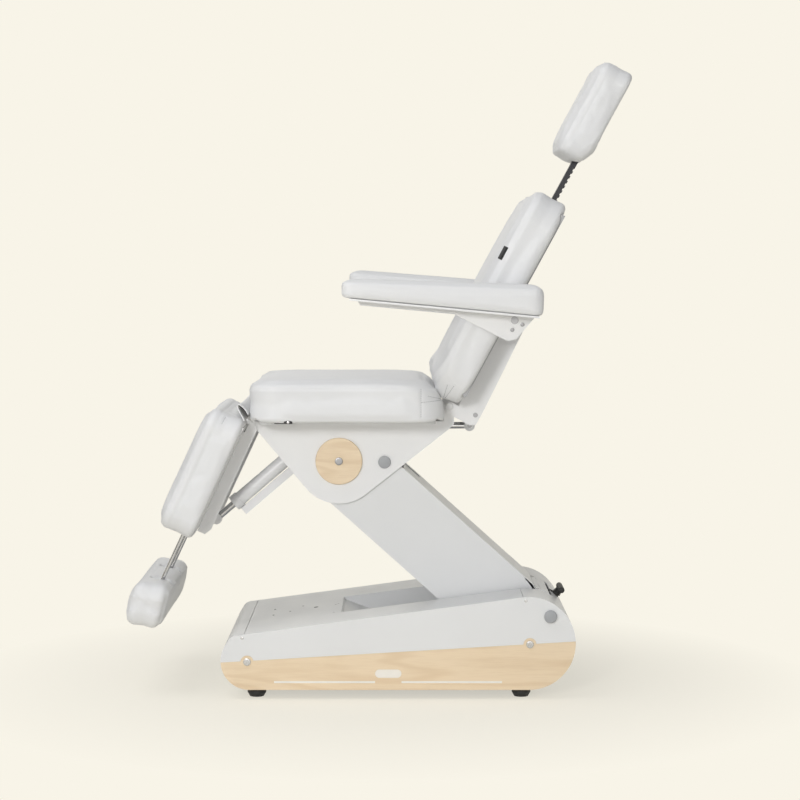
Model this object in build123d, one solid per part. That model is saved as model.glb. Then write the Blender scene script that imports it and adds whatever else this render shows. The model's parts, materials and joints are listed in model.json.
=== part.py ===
from build123d import *
import os
from math import sin, cos, tan, atan2, hypot, radians, degrees, sqrt, pi

# An electric treatment chair on a wood-clad base: a box arm lifts the seat on a parallelogram,
# and the leg section, the backrest, the armrests and the headrest move on it.
# Millimetres. X runs to the head end, Y across the chair, Z up, with the floor at zero.

# Driving dimensions of the base
BASE_HALF = 280.0
BASE_BOTTOM = 22.8
NOSE_X = -325.0
NOSE_R = 72.0
TOP_FRONT_X = -337.0
TOP_FRONT_Z = 162.0
TOP_CORNER_R = 26.0
TAIL_X = 370.0
TAIL_R = 116.5
SHEET = 3.0
SEAM_GAP = 1.2
FRONT_SEAM_X = -338.0
REAR_SEAM_X = 355.0
SPLIT_FRONT_Z = 91.5
SPLIT_REAR_Z = 144.5
WOOD = 14.0
TRAY = 4.0
WELL_HALF = 129.0
WELL_FRONT_X = -100.0
WELL_FLOOR_GAP = 12.0
TAIL_OPENING_X = 396.0
SLOT_HALF = 112.0
SLOT_START_DEG = 20.0
SLOT_END_DEG = 37.0
FOOT_R = 23.5
FOOT_GRIP_R = 17.5
FOOT_SPAN_Y = BASE_HALF - 45.0
FOOT_FRONT_X = -309.4
FOOT_REAR_X = 353.2
STUD_R = 5.0
STUD_LENGTH = 26.0
PANEL_BOLT_R = 9.5
PANEL_BOLT_HEAD = 3.0
PANEL_BUMP_R = 16.0
PANEL_BOLT_FRONT = (-331.0, 93.0)
PANEL_BOLT_REAR = (372.7, 137.0)
INLAY_Z = 42.5
INLAY_WIDTH = 5.0
INLAY_DEPTH = 3.0
INLAY_ENDS = ((-264.0, -12.7), (53.2, 303.3))
BADGE_LENGTH = 65.9
BADGE_HEIGHT = 21.4
BADGE_CENTRE = (20.25, 63.6)
BADGE_DEPTH = 3.0
SMALL_SCREW_R = 4.0
SMALL_SCREW_HEAD = 1.5

# Driving dimensions of the lift
ARM_LENGTH = 555.3
ARM_REST_DEG = 41.9
ARM_LOW_DEG = 12.0
ARM_HIGH_DEG = 46.9
ARM_PIVOT_X = 307.5
ARM_PIVOT_Z = 209.7
ARM_HALF_DEPTH = 95.0
ARM_HALF = 115.0
ARM_WALL = 4.0
ARM_TAIL_R = 91.0
SKIN_TOP_START = 136.0
SKIN_LOW_END = 70.0
NOTCH_LENGTH = 56.0
TIE_OFFSET_X = 115.8
TIE_OFFSET_Z = -2.5
TIE_HALF = 12.0
TIE_HALF_DEPTH = 7.0
TIE_EYE_R = 14.0
TIE_PIN_R = 8.0
MAIN_SHAFT_R = 11.0
BUSH_WALL = 4.0
RUNNING_CLEARANCE = 0.05
CRANK_R = 115.0
CRANK_PLATE = 8.0
CRANK_GAP_HALF = 27.0
CRANK_HUB_R = 24.0
CRANK_EYE_R = 15.0
CRANK_PIN_R = 8.0
PIVOT_PLATE = 10.0
LIFT_TUBE_R = 22.0
LIFT_TUBE_LENGTH = 230.0
LIFT_ROD_R = 10.0
LIFT_ROD_INSIDE = 150.0

# Driving dimensions of the seat carrier
CARRIER_HALF = 124.0
CARRIER_PLATE = 5.0
CARRIER_ARC_R = 109.0
CARRIER_RISE = 101.4526
CARRIER_TOP_Z = ARM_PIVOT_Z + ARM_LENGTH * sin(radians(ARM_REST_DEG)) + CARRIER_RISE
SEAT_BOARD = 11.7
SEAT_BOARD_HALF = 238.0
SEAT_GAP = 0.3
SEAT_HALF = 275.0
SEAT_FRONT_X = -319.0
SEAT_REAR_X = 155.0
SEAT_TOP_REAR_X = 118.0
SEAT_THICK = 96.0
SEAT_CROWN = 7.0
SEAT_CORNER_R = 62.0
SEAT_BACK_EDGE = 12.0
SEAT_FRONT_EDGE = 24.0
CUSHION_DRAW = 4.0
CUSHION_WAIST = 2.0
DISC_R = 59.5
DISC = 8.0
DISC_SCREW_R = 10.0
DISC_SCREW_HEAD = 2.5
CAP_R = 16.0
CAP_HEIGHT = 7.0

# Driving dimensions of the leg section
LEG_HINGE_X = -331.6
LEG_HINGE_RISE = 5.9
LEG_HINGE_Z = CARRIER_TOP_Z + LEG_HINGE_RISE
LEG_TILT = 25.0
LEG_HALF = 262.0
LEG_LENGTH = 320.0
LEG_THICK = 88.0
LEG_BOARD = 8.0
LEG_FRAME_DEPTH = 28.5
LEG_FRAME_LENGTH = 315.0
HINGE_CAP_R = 10.0
HINGE_CAP = 5.0
HINGE_PIN_R = 6.0
FRAME_PLATE = 5.0
FRAME_GAP = 2.0
LEG_TUBE_R = 18.0
ACTUATOR_BORE_R = 16.5
ACTUATOR_ROD_R = 9.0
LEG_PIN_U = 283.1
LEG_PIN_T = -26.7
LEG_REAR_PIVOT_X = -176.0
LEG_REAR_PIVOT_Z = CARRIER_TOP_Z - 47.0
FOOT_ROD_R = 5.0
FOOT_ROD_Y = 110.0
FOOT_ROD_T = 31.0
FOOT_PAD_START = 463.0
FOOT_PAD_TILT = 13.0
FOOT_PAD_LENGTH = 99.0
FOOT_PAD_THICK = 83.46

# Driving dimensions of the backrest
BACK_HINGE_X = 174.0
BACK_HINGE_RISE = 38.0
BACK_HINGE_Z = CARRIER_TOP_Z + BACK_HINGE_RISE
BACK_TILT = 28.6
BACK_HALF = 270.0
BACK_START = 18.0
BACK_LENGTH = 566.0
BACK_THICK = 88.0
BACK_CROWN = 7.0
BACK_REAR_T = -20.0
BACK_BOARD = 10.0
BACK_FRAME_LENGTH = 322.0
BACK_FRAME_DEPTH = 56.0
BACK_PIN_X = 231.4
BACK_PIN_Z = CARRIER_TOP_Z - 23.8
BACK_REAR_PIVOT_X = -154.0
BACK_REAR_PIVOT_Z = CARRIER_TOP_Z - 27.0
BACK_ACTUATOR_Y = 62.0
HEAD_BAR_T = 12.0
HEAD_BAR_DEPTH = 15.0
HEAD_BAR_WIDTH = 28.0
HEAD_START = 693.0
HEAD_LENGTH = 262.0
HEAD_HALF = 130.0
HEAD_THICK = 76.5
HEAD_REAR_T = -7.5
HEAD_BOARD = 8.0
ARMREST_V = 271.0
ARMREST_INNER = 285.0
ARMREST_OUTER = 370.0
ARMREST_WEB = 4.0
ARMREST_TIP_X = -93.0
ARMREST_REAR_X = 401.0
ARMREST_TIP_RISE = 318.0
ARMREST_TIP_Z = CARRIER_TOP_Z + ARMREST_TIP_RISE
ARMREST_TIP_THICK = 42.0
ARMREST_REAR_THICK = 66.0
ARMREST_SHAFT_R = 7.5
ARMREST_SHAFT_WALL = 4.0

# Clearances and cut depths that several pieces share
SOFT_GAP = 0.3
BOARD_WRAP = 7.5
OVERRUN = 40.0
WELD = 0.0


def side_frame(y_high):
    """The working plane of a side profile: x to the head end, y up, drawn at y_high."""
    return Plane(origin=(0, y_high, 0), x_dir=(1, 0, 0), z_dir=(0, -1, 0))


def prism(face, y_low, y_high):
    """A side profile, drawn in x and z, as a solid between two places across the chair."""
    return extrude(side_frame(y_high) * face, amount=y_high - y_low)


def polygon(points):
    """A closed straight-sided face."""
    return make_face(Polyline(*points, close=True))


def slab(points, y_low, y_high):
    """A straight-sided side profile as a solid."""
    return prism(polygon(points), y_low, y_high)


def rod_y(x, z, radius, y_low, y_high):
    """A round bar across the chair."""
    return prism(Pos(x, z) * Circle(radius), y_low, y_high)


def disc_between(x, z, outer, inner, y_low, y_high):
    """A ring or bush across the chair."""
    return prism(Pos(x, z) * (Circle(outer) - Circle(inner)), y_low, y_high)


def block(x_low, x_high, y_low, y_high, z_low, z_high):
    """A box by its limits."""
    size = (x_high - x_low, y_high - y_low, z_high - z_low)
    centre = ((x_low + x_high) / 2, (y_low + y_high) / 2, (z_low + z_high) / 2)
    return Pos(*centre) * Box(*size)


def span(side, inner, outer):
    """The two places across the chair of a piece on one side, low one first."""
    return tuple(sorted((side * inner, side * outer)))


def save(name, *solids):
    """Writes one node."""
    pieces = [piece for item in solids for piece in item.solids()]
    export_step(Compound(children=pieces), f"parts/{name}.step")


class Section:
    """A tilted section of the chair: u runs away from its hinge along it, t towards the patient."""

    def __init__(self, hinge_x, hinge_z, along, towards):
        self.hinge = (hinge_x, hinge_z)
        self.along = along
        self.towards = towards

    def at(self, u, t):
        """The x and z of a place in the section."""
        x = self.hinge[0] + u * self.along[0] + t * self.towards[0]
        z = self.hinge[1] + u * self.along[1] + t * self.towards[1]
        return (x, z)

    def points(self, pairs):
        """The x and z of several places."""
        return [self.at(u, t) for u, t in pairs]

    def plane(self, t):
        """The plane parallel to the section at t, with u as its x, facing the patient."""
        x, z = self.at(0, t)
        facing = (self.towards[0], 0, self.towards[1])
        return Plane(origin=(x, 0, z), x_dir=(self.along[0], 0, self.along[1]), z_dir=facing)

    def box(self, u_low, u_high, t_low, t_high, y_low, y_high):
        """A box by its limits in the section."""
        corners = [(u_low, t_low), (u_high, t_low), (u_high, t_high), (u_low, t_high)]
        return slab(self.points(corners), y_low, y_high)


LEG = Section(
    LEG_HINGE_X,
    LEG_HINGE_Z,
    (-sin(radians(LEG_TILT)), -cos(radians(LEG_TILT))),
    (-cos(radians(LEG_TILT)), sin(radians(LEG_TILT))),
)
BACK = Section(
    BACK_HINGE_X,
    BACK_HINGE_Z,
    (sin(radians(BACK_TILT)), cos(radians(BACK_TILT))),
    (-cos(radians(BACK_TILT)), sin(radians(BACK_TILT))),
)
ARM_DIR = (-cos(radians(ARM_REST_DEG)), sin(radians(ARM_REST_DEG)))
ARM_UP = (sin(radians(ARM_REST_DEG)), cos(radians(ARM_REST_DEG)))
ARM = Section(ARM_PIVOT_X, ARM_PIVOT_Z, ARM_DIR, ARM_UP)
CARRIER_PIVOT = ARM.at(ARM_LENGTH, 0)
TIE_LOW = (ARM_PIVOT_X + TIE_OFFSET_X, ARM_PIVOT_Z + TIE_OFFSET_Z)
TIE_HIGH = (CARRIER_PIVOT[0] + TIE_OFFSET_X, CARRIER_PIVOT[1] + TIE_OFFSET_Z)


def layer(low, high, half, corner, draw):
    """A rounded rectangle whose sides are drawn in by draw at their middles."""
    mid = (low + high) / 2
    in_c = corner * (1 - 1 / sqrt(2))
    r = corner
    edges = [
        ThreePointArc((low + r, -half), (mid, -half + draw), (high - r, -half)),
        ThreePointArc((high - r, -half), (high - in_c, -half + in_c), (high, -half + r)),
        ThreePointArc((high, -half + r), (high - draw, 0), (high, half - r)),
        ThreePointArc((high, half - r), (high - in_c, half - in_c), (high - r, half)),
        ThreePointArc((high - r, half), (mid, half - draw), (low + r, half)),
        ThreePointArc((low + r, half), (low + in_c, half - in_c), (low, half - r)),
        ThreePointArc((low, half - r), (low + draw, 0), (low, -half + r)),
        ThreePointArc((low, -half + r), (low + in_c, -half + in_c), (low + r, -half)),
    ]
    return make_face(Wire(edges))


EDGE_STEP_SHARES = (0.0, 0.15, 0.42, 0.72, 1.0)
CROWN_STEP_SHARES = (0.3, 0.62, 1.0)
CROWN_REACH_SHARE = 0.62
CORNER_LEAST_SHARE = 0.3


def cushion(plane, ends, half, thick, corner, back_edge, front_edge, crown, draw, waist):
    """A box cushion in layers away from plane. ends(h) gives its low and high end at height h.

    back_edge and front_edge round its seams, the crown rises over the front, draw pulls the
    middles of its sides in and waist pulls its border in between the seams.
    """
    rows = []
    for share in EDGE_STEP_SHARES:
        rows.append((back_edge * share, back_edge * (1 - sqrt(1 - (1 - share) ** 2)), 0))
    rows.append(((back_edge + thick - front_edge) / 2, waist, 0))
    for share in EDGE_STEP_SHARES:
        height = thick - front_edge + front_edge * share
        rows.append((height, front_edge * (1 - sqrt(1 - share**2)), 0))
    for share in CROWN_STEP_SHARES:
        rows.append((thick + crown * (1 - (1 - share) ** 2), front_edge, share * CROWN_REACH_SHARE))
    layers = []
    for height, inset, reach in rows:
        low, high = ends(height)
        along = inset + ((high - low) / 2 - inset) * reach
        across = inset + (half - inset) * reach
        least = min((high - low) / 2 - along, half - across) * CORNER_LEAST_SHARE
        face = layer(low + along, high - along, half - across, max(corner - inset, least), draw)
        layers.append(plane.offset(height) * face)
    return loft(layers, ruled=True)


# Base outline, worked out from its two round ends and the sloping top
FRONT_LEAN = 31.0
NOSE_CENTRE = (NOSE_X, BASE_BOTTOM + NOSE_R)
TAIL_CENTRE = (TAIL_X, BASE_BOTTOM + TAIL_R)
TOP_SLOPE = atan2(TAIL_CENTRE[1] - TOP_FRONT_Z, TAIL_X - TOP_FRONT_X) + atan2(
    TAIL_R,
    sqrt((TAIL_X - TOP_FRONT_X) ** 2 + (TAIL_CENTRE[1] - TOP_FRONT_Z) ** 2 - TAIL_R**2),
)
MID_Z = (BASE_BOTTOM + TOP_FRONT_Z) / 2


def around(centre, radius, degrees_up):
    """A point of a circle, by its angle above the head-end direction."""
    return (
        centre[0] + radius * cos(radians(degrees_up)),
        centre[1] + radius * sin(radians(degrees_up)),
    )


def top_z(x, inset):
    """Height of the sloping top at x, inset from the outside."""
    tangent = around(TAIL_CENTRE, TAIL_R - inset, 90 + degrees(TOP_SLOPE))
    return tangent[1] + (x - tangent[0]) * tan(TOP_SLOPE)


def split_z(x):
    """Height of the line where the wood panel ends and the painted cover starts."""
    low_x = NOSE_X - NOSE_R
    high_x = TAIL_X + TAIL_R
    return SPLIT_FRONT_Z + (SPLIT_REAR_Z - SPLIT_FRONT_Z) * (x - low_x) / (high_x - low_x)


STRAIGHT_DOWN = 270.0
TAIL_ARC_UPPER = 48.0
TAIL_ARC_LOWER = 315.0


def base_outline(inset):
    """The side profile of the base as a face."""
    nose_r = NOSE_R - inset
    tail_r = TAIL_R - inset
    lean = 180 - FRONT_LEAN
    nose_bottom = around(NOSE_CENTRE, nose_r, 270)
    nose_end = around(NOSE_CENTRE, nose_r, lean)
    tail_start = around(TAIL_CENTRE, tail_r, 90 + degrees(TOP_SLOPE))
    tail_side = around(TAIL_CENTRE, tail_r, 0)
    tail_bottom = around(TAIL_CENTRE, tail_r, 270)
    run = tan(radians(FRONT_LEAN))
    rise = tail_start[1] - tail_start[0] * tan(TOP_SLOPE)
    corner_x = (nose_end[1] - rise - nose_end[0] / run) / (tan(TOP_SLOPE) - 1 / run)
    corner = (corner_x, rise + corner_x * tan(TOP_SLOPE))
    edges = [
        ThreePointArc(nose_bottom, around(NOSE_CENTRE, nose_r, (STRAIGHT_DOWN + lean) / 2), nose_end),
        Line(nose_end, corner),
        Line(corner, tail_start),
        ThreePointArc(tail_start, around(TAIL_CENTRE, tail_r, TAIL_ARC_UPPER), tail_side),
        ThreePointArc(tail_side, around(TAIL_CENTRE, tail_r, TAIL_ARC_LOWER), tail_bottom),
        Line(tail_bottom, nose_bottom),
    ]
    face = make_face(Wire(edges))
    sharp = face.vertices().sort_by_distance((corner[0], corner[1], 0))[0]
    return fillet(sharp, TOP_CORNER_R - inset)


def above_split(gap):
    """Region over the wood panels, kept gap clear of them and their bolt bumps."""
    low = NOSE_X - NOSE_R - OVERRUN
    high = TAIL_X + TAIL_R + OVERRUN
    top = TAIL_CENTRE[1] + TAIL_R + OVERRUN
    region = polygon([(low, split_z(low) + gap), (high, split_z(high) + gap), (high, top), (low, top)])
    for x, z in (PANEL_BOLT_FRONT, PANEL_BOLT_REAR):
        region = region - Pos(x, z) * Circle(PANEL_BUMP_R + gap)
    return region


def region_box(x_low, x_high, z_low, z_high):
    """A rectangular region of the side profile."""
    size = (x_high - x_low, z_high - z_low)
    return Pos((x_low + x_high) / 2, (z_low + z_high) / 2) * Rectangle(*size)


WOOD_INNER = BASE_HALF - WOOD
COVER_INNER = BASE_HALF - SHEET
FIT = 0.2
SKY = TAIL_CENTRE[1] + TAIL_R + OVERRUN
FRONT_END = NOSE_X - NOSE_R - OVERRUN
REAR_END = TAIL_X + TAIL_R + OVERRUN


def sheet_band(x_low, x_high, z_low, z_high):
    """The base's sheet wall between two places, as a side profile."""
    wall = base_outline(WELD) - base_outline(SHEET)
    return wall & region_box(x_low, x_high, z_low, z_high)


def make_base_covers():
    """The folded top cover with its side flanges, and the nose and tail caps."""
    band = sheet_band(FRONT_SEAM_X, REAR_SEAM_X, MID_Z, SKY)
    cover = prism(band, -COVER_INNER, COVER_INNER)
    opening = block(WELL_FRONT_X, REAR_END, -WELL_HALF, WELL_HALF, MID_Z, SKY)
    cover = cover - opening
    flange = base_outline(WELD) & above_split(FIT)
    for side in (-1, 1):
        cover = cover + prism(flange, *span(side, COVER_INNER, BASE_HALF))
    for side in (-1, 1):
        cover = cover - rod_y(*TIE_LOW, TIE_PIN_R, *span(side, COVER_INNER - OVERRUN, BASE_HALF + OVERRUN))
    save("base_top_cover", cover)

    nose_upper = sheet_band(FRONT_END, FRONT_SEAM_X - SEAM_GAP, split_z(NOSE_X) + PANEL_BUMP_R, SKY)
    nose_lower = sheet_band(FRONT_END, NOSE_X, -OVERRUN, split_z(NOSE_X) + PANEL_BUMP_R)
    nose = prism(nose_upper, -COVER_INNER + FIT, COVER_INNER - FIT)
    nose = nose + prism(nose_lower, -WOOD_INNER + FIT, WOOD_INNER - FIT)
    save("base_front_cap", nose)

    tail_upper = sheet_band(REAR_SEAM_X + SEAM_GAP, REAR_END, split_z(TAIL_X) + PANEL_BUMP_R, SKY)
    tail_lower = sheet_band(TAIL_X, REAR_END, -OVERRUN, split_z(TAIL_X) + PANEL_BUMP_R)
    tail = prism(tail_upper, -COVER_INNER + FIT, COVER_INNER - FIT)
    tail = tail + prism(tail_lower, -WOOD_INNER + FIT, WOOD_INNER - FIT)
    tail = tail - block(REAR_SEAM_X, TAIL_OPENING_X, -WELL_HALF, WELL_HALF, TAIL_CENTRE[1], SKY)
    reach = TAIL_R + OVERRUN
    wedge = polygon(
        [
            TAIL_CENTRE,
            around(TAIL_CENTRE, reach, 90 - SLOT_START_DEG),
            around(TAIL_CENTRE, reach, 90 - SLOT_END_DEG),
        ]
    )
    tail = tail - prism(wedge, -SLOT_HALF, SLOT_HALF)
    tail = tail - pedal_axis_rod(PEDAL_BUSH_R, -OVERRUN, OVERRUN)
    for screw in tail_screw_places():
        tail = tail - radial_rod(screw, SMALL_SCREW_R / 2, -OVERRUN, OVERRUN)
    save("base_rear_cap", tail)


# Foot pedal: a cross bar on a short neck that rocks on a pin inside its bush in the tail
PEDAL_DEG = 47.0
PEDAL_AIM = 56.0
PEDAL_BUSH_R = 13.5
PEDAL_BUSH_WALL = 2.3
PEDAL_BUSH_LIP = 3.0
PEDAL_PIVOT_DEPTH = 6.0
PEDAL_TAIL = 5.0
PEDAL_PIN_R = 2.5
PEDAL_STEM_R = 8.5
PEDAL_BOOT_R = 11.5
PEDAL_BOOT_START = 6.8
PEDAL_BAR_R = 8.0
PEDAL_BAR_HALF = 47.0
PEDAL_REACH = 26.0
PEDAL_ROOT = around(TAIL_CENTRE, TAIL_R, PEDAL_DEG)


def pedal_axis_rod(radius, start, end):
    """A round bar along the pedal's axis, measured outwards from the tail's skin."""
    aim = (cos(radians(PEDAL_AIM)), 0, sin(radians(PEDAL_AIM)))
    origin = (PEDAL_ROOT[0] + start * aim[0], 0, PEDAL_ROOT[1] + start * aim[2])
    return extrude(Plane(origin=origin, x_dir=(0, 1, 0), z_dir=aim) * Circle(radius), amount=end - start)


def make_pedal():
    """The rocking pedal and the bush that carries its pin in the tail cap."""
    aim = (cos(radians(PEDAL_AIM)), sin(radians(PEDAL_AIM)))
    pivot = (PEDAL_ROOT[0] - PEDAL_PIVOT_DEPTH * aim[0], PEDAL_ROOT[1] - PEDAL_PIVOT_DEPTH * aim[1])
    inside = PEDAL_PIVOT_DEPTH + PEDAL_TAIL
    bush = pedal_axis_rod(PEDAL_BUSH_R, -inside, PEDAL_BUSH_LIP)
    bush = bush - pedal_axis_rod(PEDAL_BUSH_R - PEDAL_BUSH_WALL, -OVERRUN, OVERRUN)
    bush = bush + rod_y(*pivot, PEDAL_PIN_R, FIT - PEDAL_BUSH_R, PEDAL_BUSH_R - FIT)
    save("pedal_bush", bush)
    head = (PEDAL_ROOT[0] + PEDAL_REACH * aim[0], PEDAL_ROOT[1] + PEDAL_REACH * aim[1])
    stem = pedal_axis_rod(PEDAL_STEM_R, -inside, PEDAL_REACH)
    boot = pedal_axis_rod(PEDAL_BOOT_R, PEDAL_BOOT_START, PEDAL_REACH)
    bar = rod_y(*head, PEDAL_BAR_R, -PEDAL_BAR_HALF, PEDAL_BAR_HALF)
    pedal = fillet(bar.edges(), PEDAL_BAR_R / 3) + stem + boot
    save("foot_pedal", pedal - rod_y(*pivot, PEDAL_PIN_R + RUNNING_CLEARANCE, -OVERRUN, OVERRUN))


TAIL_SCREW_DEG = 15.0
TAIL_SCREW_Y = 107.0


def radial_rod(place, radius, start, end):
    """A round bar square to the tail's skin at a place (y, degrees from vertical)."""
    y, lean = place
    out = (sin(radians(lean)), 0, cos(radians(lean)))
    reach = TAIL_R + start
    origin = (TAIL_CENTRE[0] + reach * out[0], y, TAIL_CENTRE[1] + reach * out[2])
    return extrude(Plane(origin=origin, x_dir=(0, 1, 0), z_dir=out) * Circle(radius), amount=end - start)


def tail_screw_places():
    """The two screws in the strip of the tail cap, as (y, degrees from vertical)."""
    return [(side * TAIL_SCREW_Y, TAIL_SCREW_DEG) for side in (-1, 1)]


COVER_SCREW_FRONT = (TOP_FRONT_X - 6.0, TOP_FRONT_Z - 9.0)
COVER_SCREW_REAR = (REAR_SEAM_X + 7.0, TAIL_CENTRE[1] + 107.0)


def make_base_fixings():
    """Panel bolts, cover screws and the tail screws."""
    bolts = []
    screws = []
    caps = []
    for side in (-1, 1):
        for x, z in (PANEL_BOLT_FRONT, PANEL_BOLT_REAR):
            head = rod_y(x, z, PANEL_BOLT_R, *span(side, BASE_HALF, BASE_HALF + PANEL_BOLT_HEAD))
            shank = rod_y(x, z, STUD_R, *span(side, WOOD_INNER - TRAY * 3, BASE_HALF))
            bolts.append(head + shank)
        for x, z in (COVER_SCREW_FRONT, COVER_SCREW_REAR):
            screws.append(rod_y(x, z, SMALL_SCREW_R, *span(side, BASE_HALF, BASE_HALF + SMALL_SCREW_HEAD)))
        x, z = TIE_LOW
        head = rod_y(x, z, CAP_R, *span(side, BASE_HALF, BASE_HALF + CAP_HEIGHT + SMALL_SCREW_HEAD))
        stem = rod_y(x, z, TIE_PIN_R, *span(side, COVER_INNER - SHEET, BASE_HALF))
        caps.append(fillet(outer_edges(head, side), SMALL_SCREW_HEAD) + stem)
    for place in tail_screw_places():
        head = radial_rod(place, SMALL_SCREW_R, WELD, SMALL_SCREW_HEAD)
        screws.append(head + radial_rod(place, SMALL_SCREW_R / 2, -SHEET * 2, SMALL_SCREW_HEAD))
    save("base_screws", *bolts, *screws)
    save("base_shaft_caps", *caps)


def outer_edges(solid, side):
    """The edges of the face of a piece that looks out on one side of the chair."""
    faces = solid.faces().sort_by(Axis.Y)
    return (faces[-1] if side > 0 else faces[0]).edges()


def make_wood_panels():
    """The wood side panels with their inlaid strips and bare pill plates."""
    outline = base_outline(WELD)
    panel = (outline - above_split(WELD)) & base_outline(WELD)
    inlays = []
    badges = []
    half_pill = BADGE_HEIGHT / 2
    for side, name in ((-1, "near"), (1, "far")):
        wood = prism(panel, *span(side, WOOD_INNER, BASE_HALF))
        for x, z in (PANEL_BOLT_FRONT, PANEL_BOLT_REAR):
            wood = wood - rod_y(x, z, STUD_R, *span(side, WOOD_INNER - OVERRUN, BASE_HALF + OVERRUN))
        for low, high in INLAY_ENDS:
            y_low, y_high = span(side, BASE_HALF - INLAY_DEPTH, BASE_HALF)
            strip = block(low, high, y_low, y_high, INLAY_Z - INLAY_WIDTH / 2, INLAY_Z + INLAY_WIDTH / 2)
            inlays.append(strip)
            wood = wood - strip
        centre = Pos(*BADGE_CENTRE)
        face = centre * SlotOverall(BADGE_LENGTH, BADGE_HEIGHT)
        recess = prism(face, *span(side, BASE_HALF - BADGE_DEPTH, BASE_HALF))
        wood = wood - recess
        inner = centre * SlotOverall(BADGE_LENGTH - FIT, BADGE_HEIGHT - FIT)
        plate = prism(inner, *span(side, BASE_HALF - BADGE_DEPTH, BASE_HALF - BADGE_DEPTH / 2))
        badges.append(plate)
        save(f"wood_side_{name}", wood)
    save("panel_inlays", *inlays, *badges)


PIVOT_INNER = ARM_HALF + SHEET
PIVOT_OUTER = PIVOT_INNER + PIVOT_PLATE
PIVOT_BOSS_R = 24.0
PIVOT_FOOT = 60.0
TRAY_TOP = BASE_BOTTOM + TRAY
CRANK_REST_DEG = ARM_REST_DEG - (ARM_LOW_DEG + ARM_HIGH_DEG) / 2
CRANK_PIN = (
    ARM_PIVOT_X - CRANK_R * sin(radians(CRANK_REST_DEG)),
    ARM_PIVOT_Z - CRANK_R * cos(radians(CRANK_REST_DEG)),
)
LIFT_TUBE_END = CRANK_PIN[0] - 40.0
MOTOR_LENGTH = 75.0
MOTOR_HALF = 30.0
BRACKET_HALF = 16.0


def boss_plate(high_points, radius, foot_low, foot_high, foot_z):
    """A plate profile that stands on a foot and wraps round bosses at its top."""
    (x1, z1), (x2, z2) = high_points
    body = polygon(
        [
            (foot_low, foot_z),
            (foot_high, foot_z),
            (x2 + radius, z2),
            (x2, z2 + radius),
            (x1, z1 + radius),
            (x1 - radius, z1),
        ]
    )
    return body + Pos(x1, z1) * Circle(radius) + Pos(x2, z2) * Circle(radius)


def make_chassis():
    """The welded steel chassis: tray, side walls, pivot plates and the lift actuator's bracket."""
    tray = block(
        NOSE_X + FIT, TAIL_X - FIT, -WOOD_INNER + FIT, WOOD_INNER - FIT, BASE_BOTTOM, TRAY_TOP
    )
    wall_face = base_outline(SHEET + FIT)
    wall_face = wall_face - Pos(*TIE_LOW) * Circle(CAP_R)
    parts = tray
    for side in (-1, 1):
        wall = prism(wall_face, *span(side, WOOD_INNER - TRAY, WOOD_INNER - FIT))
        parts = parts + wall
        plate = boss_plate(
            ((ARM_PIVOT_X, ARM_PIVOT_Z), TIE_LOW),
            PIVOT_BOSS_R,
            ARM_PIVOT_X - PIVOT_FOOT,
            TAIL_X - PIVOT_PLATE,
            BASE_BOTTOM,
        )
        parts = parts + prism(plate, *span(side, PIVOT_INNER, PIVOT_OUTER))
    bracket = block(
        LIFT_TUBE_END - LIFT_TUBE_LENGTH - MOTOR_LENGTH - TRAY * 4,
        LIFT_TUBE_END - LIFT_TUBE_LENGTH - MOTOR_LENGTH,
        -BRACKET_HALF,
        BRACKET_HALF,
        BASE_BOTTOM,
        CRANK_PIN[1] + LIFT_TUBE_R,
    )
    parts = parts + bracket
    for side in (-1, 1):
        for x, z in (PANEL_BOLT_FRONT, PANEL_BOLT_REAR):
            parts = parts - rod_y(x, z, STUD_R, *span(side, WOOD_INNER - OVERRUN, BASE_HALF))
    parts = parts - rod_y(ARM_PIVOT_X, ARM_PIVOT_Z, MAIN_SHAFT_R, -PIVOT_OUTER, PIVOT_OUTER)
    parts = parts - rod_y(*TIE_LOW, TIE_PIN_R, -PIVOT_OUTER, PIVOT_OUTER)
    for x, y in foot_places():
        parts = parts - Pos(x, y, BASE_BOTTOM) * Cylinder(STUD_R, TRAY * 3)
    save("base_chassis", parts)


def foot_places():
    """The four feet, as x and y."""
    return [(x, y) for x in (FOOT_FRONT_X, FOOT_REAR_X) for y in (-FOOT_SPAN_Y, FOOT_SPAN_Y)]


def make_feet():
    """Rubber feet on threaded studs."""
    feet = []
    studs = []
    for x, y in foot_places():
        lower = Plane.XY * Circle(FOOT_GRIP_R)
        upper = Plane.XY.offset(BASE_BOTTOM * 0.45) * Circle(FOOT_R)
        foot = loft([lower, upper], ruled=True)
        foot = foot + extrude(upper, amount=BASE_BOTTOM * 0.55)
        stud_low = BASE_BOTTOM / 2
        stud = Cylinder(STUD_R, STUD_LENGTH, align=(Align.CENTER, Align.CENTER, Align.MIN))
        foot = foot - Pos(0, 0, stud_low) * stud
        feet.append(Pos(x, y, 0) * foot)
        studs.append(Pos(x, y, stud_low) * stud)
    save("rubber_feet", *feet)
    save("foot_studs", *studs)


WELL_LINER_OUTER = WELL_HALF + SHEET
RAMP_DEG = 21.0
RAMP_FOOT_Z = 124.5
RAMP_END_X = 225.0
CONTROL_SIZE = (150.0, 190.0, 52.0)
CONTROL_X = (NOSE_X + WELL_FRONT_X) / 2


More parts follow.
